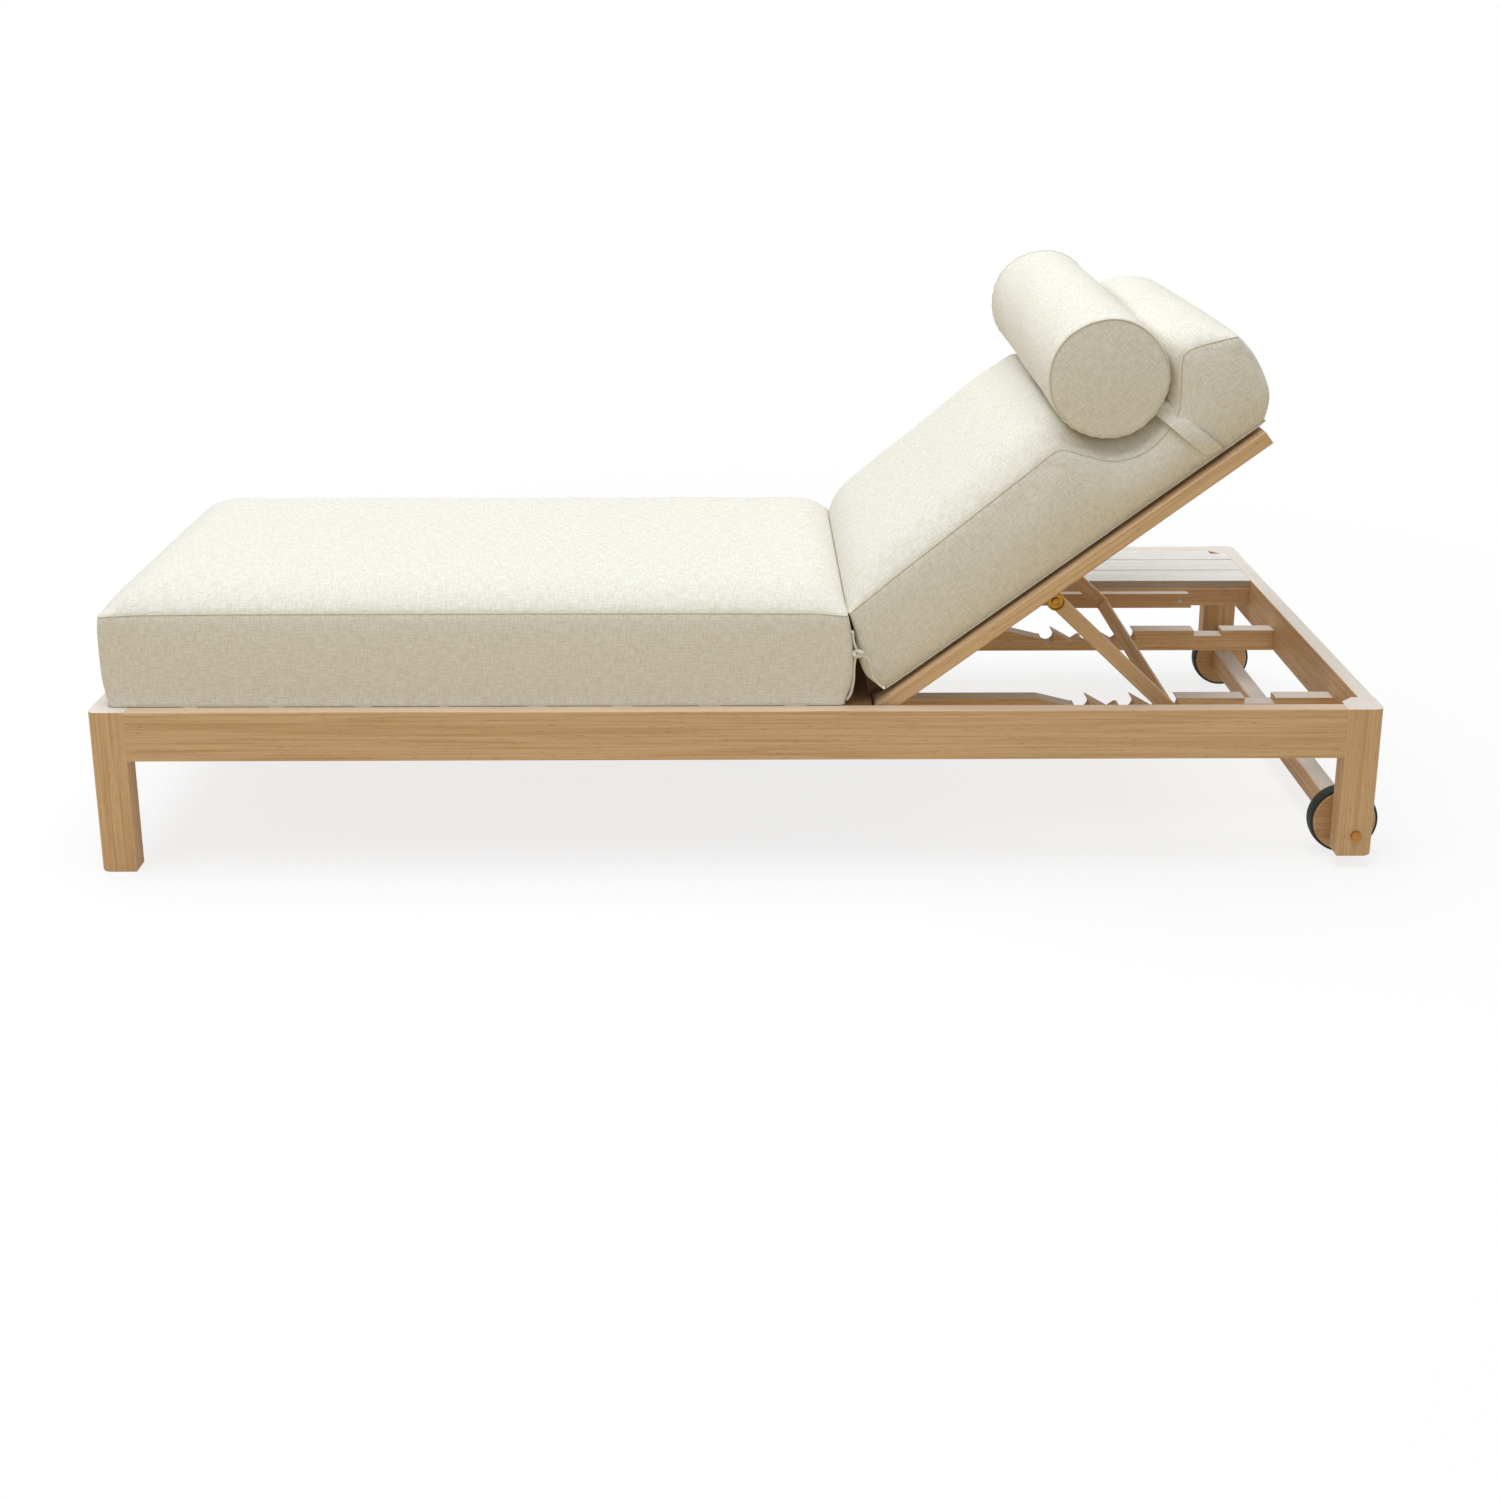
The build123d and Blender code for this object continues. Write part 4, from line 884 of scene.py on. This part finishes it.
class LOUNGER_OT_bolster(bpy.types.Operator):
    """Make the round neck bolster with its sewn ends"""

    bl_idname = "lounger.bolster"
    bl_label = "Make the bolster"

    # Rings of an end panel as shares of its radius, and points round each ring
    cap = np.array([0.0, 0.35, 0.6, 0.8, 0.92, 0.975])
    turn = np.linspace(0, 2 * math.pi, 112, endpoint=False)

    def execute(self, context):
        size = context.scene.lounger_bolster
        lean = context.scene.lounger_back_cushion.lean
        along, out = self.profile(size)
        faces, weave = self.covering(along, out)
        local = self.filled(along, out, size)
        far = (local[:, 1] + size.half) / (2 * size.half)
        local += far[:, None] * (size.skew, 0.0, size.lift)
        placed = backrest_place(local, lean, BOLSTER)
        piece = make_piece("bolster_cover", placed, faces, weave, found_material("woven_acrylic_fabric"))
        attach(piece, "backrest")
        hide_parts("bolster")
        sides, seam_at = len(self.turn), len(self.cap) - 1
        for name, line in (("near", len(along) - 2 - seam_at), ("far", seam_at)):
            add_seam(f"bolster_{name}_seam", placed[line * sides:(line + 1) * sides], (0.0, 1.0, 0.0),
                     "backrest")
        return {"FINISHED"}

    def profile(self, size):
        """Half profile from the far pole to the near one, as places along the bolster and distances
        from its line. An end panel is domed by what is left of one after the square of its share,
        and the wall is drawn in less and less away from the seams."""
        cap_along = size.half + size.dome * (1 - self.cap ** 2)
        cap_out = self.cap * (size.radius - size.rim_in)
        first_ring = 0.002
        wall_along = np.linspace(size.half - first_ring, first_ring - size.half, 60)
        from_end = size.half - np.abs(wall_along)
        wall_out = size.radius - size.rim_in * np.exp(-from_end / size.rim_run)
        along = np.concatenate([cap_along, wall_along, -cap_along[::-1]])
        return along, np.concatenate([cap_out, wall_out, cap_out[::-1]])

    def filled(self, along, out, size):
        """Points of the rings and then the two poles, across, along and above the bolster's line.
        Small folds beside the seams and broad lumps of the filling are sines round and along it."""
        t, a, r = along[1:-1, None], self.turn[None, :], out[1:-1, None]
        near_end = np.exp(-(size.half - np.abs(t)).clip(0) / size.pucker_run) * (np.abs(t) < size.half)
        folds = size.pucker * near_end * np.sin(31 * a + 3 * np.sin(2 * a))
        lumps = size.lump * np.sin(9 * t + 2 * a) * np.sin(3 * a + 11 * t)
        radius = r + (folds + lumps) * (r / size.radius)
        rings = np.stack([radius * np.cos(a), np.broadcast_to(t, radius.shape), radius * np.sin(a)],
                         axis=2)
        poles = np.array([[0, along[0], 0], [0, along[-1], 0]])
        return np.concatenate([rings.reshape(-1, 3), poles])

    def covering(self, along, out):
        """Faces and the fabric lengths of their corners: cells between neighbouring rings, and a fan
        round each pole. The fabric lies round and along the wall, and flat across the end panels."""
        rows, sides = len(along) - 2, len(self.turn)
        row, side = np.arange(rows - 1)[:, None], np.arange(sides)[None, :]
        beside = (side + 1) % sides
        cells = np.stack([row * sides + side, (row + 1) * sides + side, (row + 1) * sides + beside,
                          row * sides + beside], axis=2).reshape(-1, 4)
        rim = np.arange(sides)
        after, pole, last_ring = np.roll(rim, -1), np.full(sides, rows * sides), (rows - 1) * sides
        fans = np.concatenate([np.stack([pole, rim, after], axis=1),
                               np.stack([pole + 1, last_ring + after, last_ring + rim], axis=1)])
        t, r, a = np.repeat(along[1:-1], sides), np.repeat(out[1:-1], sides), np.tile(self.turn, rows)
        corner_t, corner_r, corner_a = t[cells], r[cells], a[cells]
        # The last cell of a ring ends at a full turn, not at none
        closing = (cells % sides == 0) & (corner_a.max(axis=1, keepdims=True) > 4)
        corner_a = np.where(closing, 2 * math.pi, corner_a)
        # Cells that reach further in than the wall does are part of an end panel
        flat = corner_r.min(axis=1, keepdims=True) < 0.93 * r.max()
        first = np.where(flat, corner_r * np.cos(corner_a), corner_a * r.max())
        second = np.where(flat, corner_r * np.sin(corner_a), corner_t)
        cos, sin = out[1] * np.cos(self.turn), out[1] * np.sin(self.turn)
        fan = np.stack([0 * cos, 0 * cos, cos, sin, np.roll(cos, -1), np.roll(sin, -1)], axis=1)
        weave = [np.stack([first, second], axis=2).reshape(-1, 2), fan.reshape(-1, 2), fan.reshape(-1, 2)]
        return cells.tolist() + fans.tolist(), np.concatenate(weave)


def laid_on(cover, path, way, lift):
    """A path moved across the lounger onto the side of a cover, and lifted off it. Points that miss
    the side take the place across of the next point on it, and each keeps its own inset. Of the
    place met and its average over seven points, the one further out is taken."""
    cover = bpy.data.objects[cover]
    # A place met nearer to the middle is on the top or bottom
    least_across = 0.31
    met_at = np.full(len(path), np.nan)
    for number, (x, _, z) in enumerate(path):
        met, place, _, _ = cover.ray_cast((x, BOLSTER[1] + way, z), (0.0, -way, 0.0))
        if met and abs(place.y - BOLSTER[1]) > least_across:
            met_at[number] = place.y
    count = np.arange(len(path))
    on = ~np.isnan(met_at)
    across = np.interp(count, count[on], met_at[on])
    average = np.convolve(np.pad(across, 3, "edge"), np.ones(7) / 7, "valid")
    across = np.maximum(across * way, average * way) * way
    placed = np.array(path)
    placed[:, 1] += across - BOLSTER[1] + way * lift
    return placed


class LOUNGER_OT_straps(bpy.types.Operator):
    """Make the flat straps that hold the bolster, and the ties between the two cushions"""

    bl_idname = "lounger.straps"
    bl_label = "Make straps and ties"

    def execute(self, context):
        size = context.scene.lounger_bolster
        hem_cord = context.scene.lounger_fabric.hem_cord
        lean = context.scene.lounger_back_cushion.lean
        turn = lean - size.strap_slant
        width_way = (math.cos(turn), 0.0, math.sin(turn))
        for name, way in (("near", -1), ("far", 1)):
            # From under the bolster's end down the side of the cushion and in under it: along the
            # backrest, in from the cushion's side, and above the backrest
            route = np.array([(0.606, 0.030, 0.139), (0.611, 0.012, 0.133), (0.615, 0.003, 0.123),
                              (0.620, 0.0, 0.104), (0.625, 0.0, 0.086), (0.630, 0.0, 0.066),
                              (0.635, 0.0, 0.046), (0.639, 0.0, 0.032), (0.641, 0.004, 0.022)])
            if way > 0:
                route += (size.skew, 0.0, size.lift)
            route[:, 1] *= -way
            path = backrest_place(self.smoothed(route, 40), lean)
            path = laid_on("back_cushion_cover", path, way, size.strap_thick / 2 + size.strap_lift)
            strap = add_trim(f"bolster_{name}_strap", path, width_way,
                             flat_section(size.strap_width, size.strap_thick), "woven_acrylic_fabric")
            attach(strap, "backrest")
            # The hems take the seam's darker colour: painted shadow lines along both edges of the strap
            for side, edge in (("lower", -1), ("upper", 1)):
                cord = round_section(hem_cord, 6) + (edge * size.strap_width / 2, 0.0)
                hem = add_trim(f"bolster_{name}_strap_{side}_hem", path, width_way, cord,
                               "folded_seam_edge")
                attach(hem, "backrest")
        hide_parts("bolster_straps")
        for name, way in (("near", -1), ("far", 1)):
            self.folded_edges(name, way, size)
            self.knot(name, way, size.knot_cord)
        return {"FINISHED"}

    def folded_edges(self, name, way, size):
        """At one side of the gap between the cushions a folded edge of fabric down either corner.
        Lines are given as places along the lounger and heights."""
        seat_edge = np.array([(0.1640, 0.3850), (0.1655, 0.3700), (0.1690, 0.3590), (0.1722, 0.3496),
                              (0.1685, 0.3400), (0.1670, 0.3250), (0.1665, 0.3050), (0.1625, 0.2840),
                              (0.1560, 0.2730)])
        back_edge = np.array([(0.1722, 0.3496), (0.1800, 0.3455), (0.1880, 0.3400), (0.1925, 0.3267),
                              (0.1960, 0.3120), (0.2020, 0.3030), (0.2070, 0.2983),
                              (0.2120, 0.2952)])
        section = flat_section(size.tie_width, size.tie_thick)
        # The width points out across, turned a little to the head
        width_way = (0.4, way, 0.0)
        # How far out across from the middle of the cushions both edges start
        start = 0.334
        for kind, line, stop in (("seat_edge", seat_edge, start), ("back_edge", back_edge, 0.339)):
            across = BOLSTER[1] + way * np.linspace(start, stop, len(line))
            path = self.smoothed(np.stack([line[:, 0], across, line[:, 1]], axis=1), 32)
            ribbon = add_trim(f"{name}_{kind}", path, width_way, section, "woven_acrylic_fabric")
            if kind == "seat_edge":
                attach(ribbon, "frame")
            else:
                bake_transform(ribbon)

    def knot(self, name, way, thick):
        """The small flat knot that joins the two edges: a cord closed round itself in a shallow
        figure of eight, whose swing across is a sine twice as fast as the other two."""
        turn = np.linspace(0, 2 * math.pi, 24, endpoint=False)
        # Where the two edges meet, beside the corner of the seat cushion
        centre = (0.1735, BOLSTER[1] + way * 0.3365, 0.3490)
        half_long, half_across, half_tall = 0.0068, 0.0022, 0.0040
        path = centre + np.stack([half_long * np.cos(turn), half_across * np.sin(2 * turn) * way,
                                  half_tall * np.sin(turn)], axis=1)
        knot = add_trim(f"{name}_tie_knot", path, (0.0, 1.0, 0.0), round_section(thick, 10),
                        "woven_acrylic_fabric", closed=True)
        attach(knot, "frame")

    def smoothed(self, route, count):
        """A smooth path through a few places: each span is a cubic that keeps the direction of
        its neighbours."""
        spans = len(route) - 1
        t = np.linspace(0, spans, count)
        i = np.minimum(t.astype(int), spans - 1)
        u = (t - i)[:, None]
        padded = np.concatenate([[2 * route[0] - route[1]], route, [2 * route[-1] - route[-2]]])
        a, b, c, d = (padded[i + k] for k in range(4))
        return 0.5 * (2 * b + (c - a) * u + (2 * a - 5 * b + 4 * c - d) * u ** 2
                      + (3 * b - a - 3 * c + d) * u ** 3)


class LOUNGER_OT_stage(bpy.types.Operator):
    """Set the floor, the soft light and the camera"""

    bl_idname = "lounger.stage"
    bl_label = "Set the stage"

    def execute(self, context):
        size = context.scene.lounger_stage
        context.scene.view_settings.view_transform = "Standard"
        camera = bpy.data.cameras.new("camera")
        camera.sensor_width = 36.0
        camera.lens = size.lens
        camera.shift_y = size.rise
        camera.clip_end = 5 * size.reach
        holder = bpy.data.objects.new("camera", camera)
        holder.location = size.camera
        holder.rotation_euler = (math.pi / 2 - size.pitch, 0.0, -size.yaw)
        context.scene.collection.objects.link(holder)
        context.scene.camera = holder
        self.lamp(context, size)
        self.world(context, size)
        self.floor(size)
        return {"FINISHED"}

    def lamp(self, context, size):
        """The square soft lamp overhead, a little cool."""
        light = bpy.data.lights.new("overhead", "AREA")
        light.shape = "SQUARE"
        light.size = size.lamp_width
        light.energy = size.key
        light.color = (0.96, 0.99, 1.0)
        holder = bpy.data.objects.new("overhead", light)
        holder.location = size.lamp
        holder.rotation_euler = (0.0, -size.lamp_tilt, 0.0)
        context.scene.collection.objects.link(holder)

    def seen_share(self, tree):
        """One for what the camera sees itself, in a mirror or through glass."""
        path = add_node(tree, "ShaderNodeLightPath")
        seen = path.outputs["Is Camera Ray"]
        for kind in ("Is Glossy Ray", "Is Transmission Ray"):
            seen = add_node(tree, "ShaderNodeMath", {"operation": "MAXIMUM"}, {
                0: seen, 1: path.outputs[kind]})
        return seen

    def world(self, context, size):
        """A soft even light all round that the camera sees as white."""
        world = bpy.data.worlds.new("studio")
        world.use_nodes = True
        tree = world.node_tree
        tree.nodes.clear()
        soft = add_node(tree, "ShaderNodeBackground", inputs={
            "Color": (0.95, 0.98, 1.0, 1.0), "Strength": size.fill})
        white = add_node(tree, "ShaderNodeBackground", inputs={"Color": WHITE, "Strength": 1.0})
        mix = add_node(tree, "ShaderNodeMixShader", inputs={0: self.seen_share(tree), 1: soft, 2: white})
        add_node(tree, "ShaderNodeOutputWorld", inputs={"Surface": mix})
        context.scene.world = world

    def floor(self, size):
        """A wide plain floor. The camera sees it nearly white, with the object's soft shadow."""
        corners = size.reach * np.array([(-1, -1, 0), (1, -1, 0), (1, 1, 0), (-1, 1, 0)])
        mesh = bpy.data.meshes.new("studio_floor")
        mesh.from_pydata(corners.tolist(), [], [(0, 1, 2, 3)])
        floor = bpy.data.objects.new("studio_floor", mesh)
        bpy.context.scene.collection.objects.link(floor)
        material, tree = new_material("pale_studio_floor")
        plain = add_node(tree, "ShaderNodeBsdfDiffuse", inputs={"Color": full(size.floor)})
        # A dim surface that takes the shadow, over a glow that makes up what is missing to white
        veil = add_node(tree, "ShaderNodeBsdfDiffuse", inputs={"Color": (0.2, 0.2, 0.2, 1.0)})
        glow = add_node(tree, "ShaderNodeEmission", inputs={"Color": WHITE, "Strength": 0.8})
        near_floor = add_node(tree, "ShaderNodeAddShader", inputs={0: veil, 1: glow})
        # Further out the floor goes over into the white backdrop
        clean = add_node(tree, "ShaderNodeEmission", inputs={"Color": WHITE, "Strength": 1.0})
        here = add_node(tree, "ShaderNodeTexCoord")
        away = add_node(tree, "ShaderNodeVectorMath", {"operation": "LENGTH"}, {0: here.outputs["Object"]})
        gone = add_node(tree, "ShaderNodeMapRange", SMOOTH, {
            "Value": away, "From Min": size.shadow_end, "From Max": size.backdrop})
        white = add_node(tree, "ShaderNodeMixShader", inputs={0: gone, 1: near_floor, 2: clean})
        mix = add_node(tree, "ShaderNodeMixShader", inputs={
            0: self.seen_share(tree), 1: plain, 2: white})
        add_node(tree, "ShaderNodeOutputMaterial", inputs={"Surface": mix})
        mesh.materials.append(material)


class LOUNGER_PT_sidebar(bpy.types.Panel):
    """Steps that dress the lounger, in order, with the sizes and colours that each one reads"""

    bl_idname = "LOUNGER_PT_sidebar"
    bl_label = "Chaise lounger"
    bl_space_type = "VIEW_3D"
    bl_region_type = "UI"
    bl_category = "Lounger"

    def draw(self, context):
        for operator, group in STEPS:
            box = self.layout.box()
            box.operator(operator.bl_idname)
            if group:
                settings = getattr(context.scene, group)
                for name in settings.__annotations__:
                    box.prop(settings, name)


GROUPS = {
    "lounger_teak": TeakFinish,
    "lounger_fittings": FittingFinish,
    "lounger_fabric": FabricFinish,
    "lounger_seat_cushion": SeatCushionSizes,
    "lounger_back_cushion": BackCushionSizes,
    "lounger_bolster": BolsterSizes,
    "lounger_stage": StageSizes,
}
STEPS = (
    (LOUNGER_OT_stage, "lounger_stage"),
    (LOUNGER_OT_teak, "lounger_teak"),
    (LOUNGER_OT_fittings, "lounger_fittings"),
    (LOUNGER_OT_fabric, "lounger_fabric"),
    (LOUNGER_OT_seat_cushion, "lounger_seat_cushion"),
    (LOUNGER_OT_back_cushion, "lounger_back_cushion"),
    (LOUNGER_OT_bolster, "lounger_bolster"),
    (LOUNGER_OT_straps, None),
)


def register():
    """Registers the settings, the operators and the panel."""
    for name, group in GROUPS.items():
        bpy.utils.register_class(group)
        setattr(bpy.types.Scene, name, bpy.props.PointerProperty(type=group))
    for operator, _ in STEPS:
        bpy.utils.register_class(operator)
    bpy.utils.register_class(LOUNGER_PT_sidebar)


def unregister():
    """Takes away what register put in, in the other order."""
    bpy.utils.unregister_class(LOUNGER_PT_sidebar)
    for operator, _ in reversed(STEPS):
        bpy.utils.unregister_class(operator)
    for name, group in reversed(GROUPS.items()):
        delattr(bpy.types.Scene, name)
        bpy.utils.unregister_class(group)


def main():
    """Registers the add-on and takes its steps in order."""
    register()
    for step in (bpy.ops.lounger.stage, bpy.ops.lounger.teak, bpy.ops.lounger.fittings,
                 bpy.ops.lounger.fabric, bpy.ops.lounger.seat_cushion, bpy.ops.lounger.back_cushion,
                 bpy.ops.lounger.bolster, bpy.ops.lounger.straps):
        step()


if __name__ == "__main__":
    main()
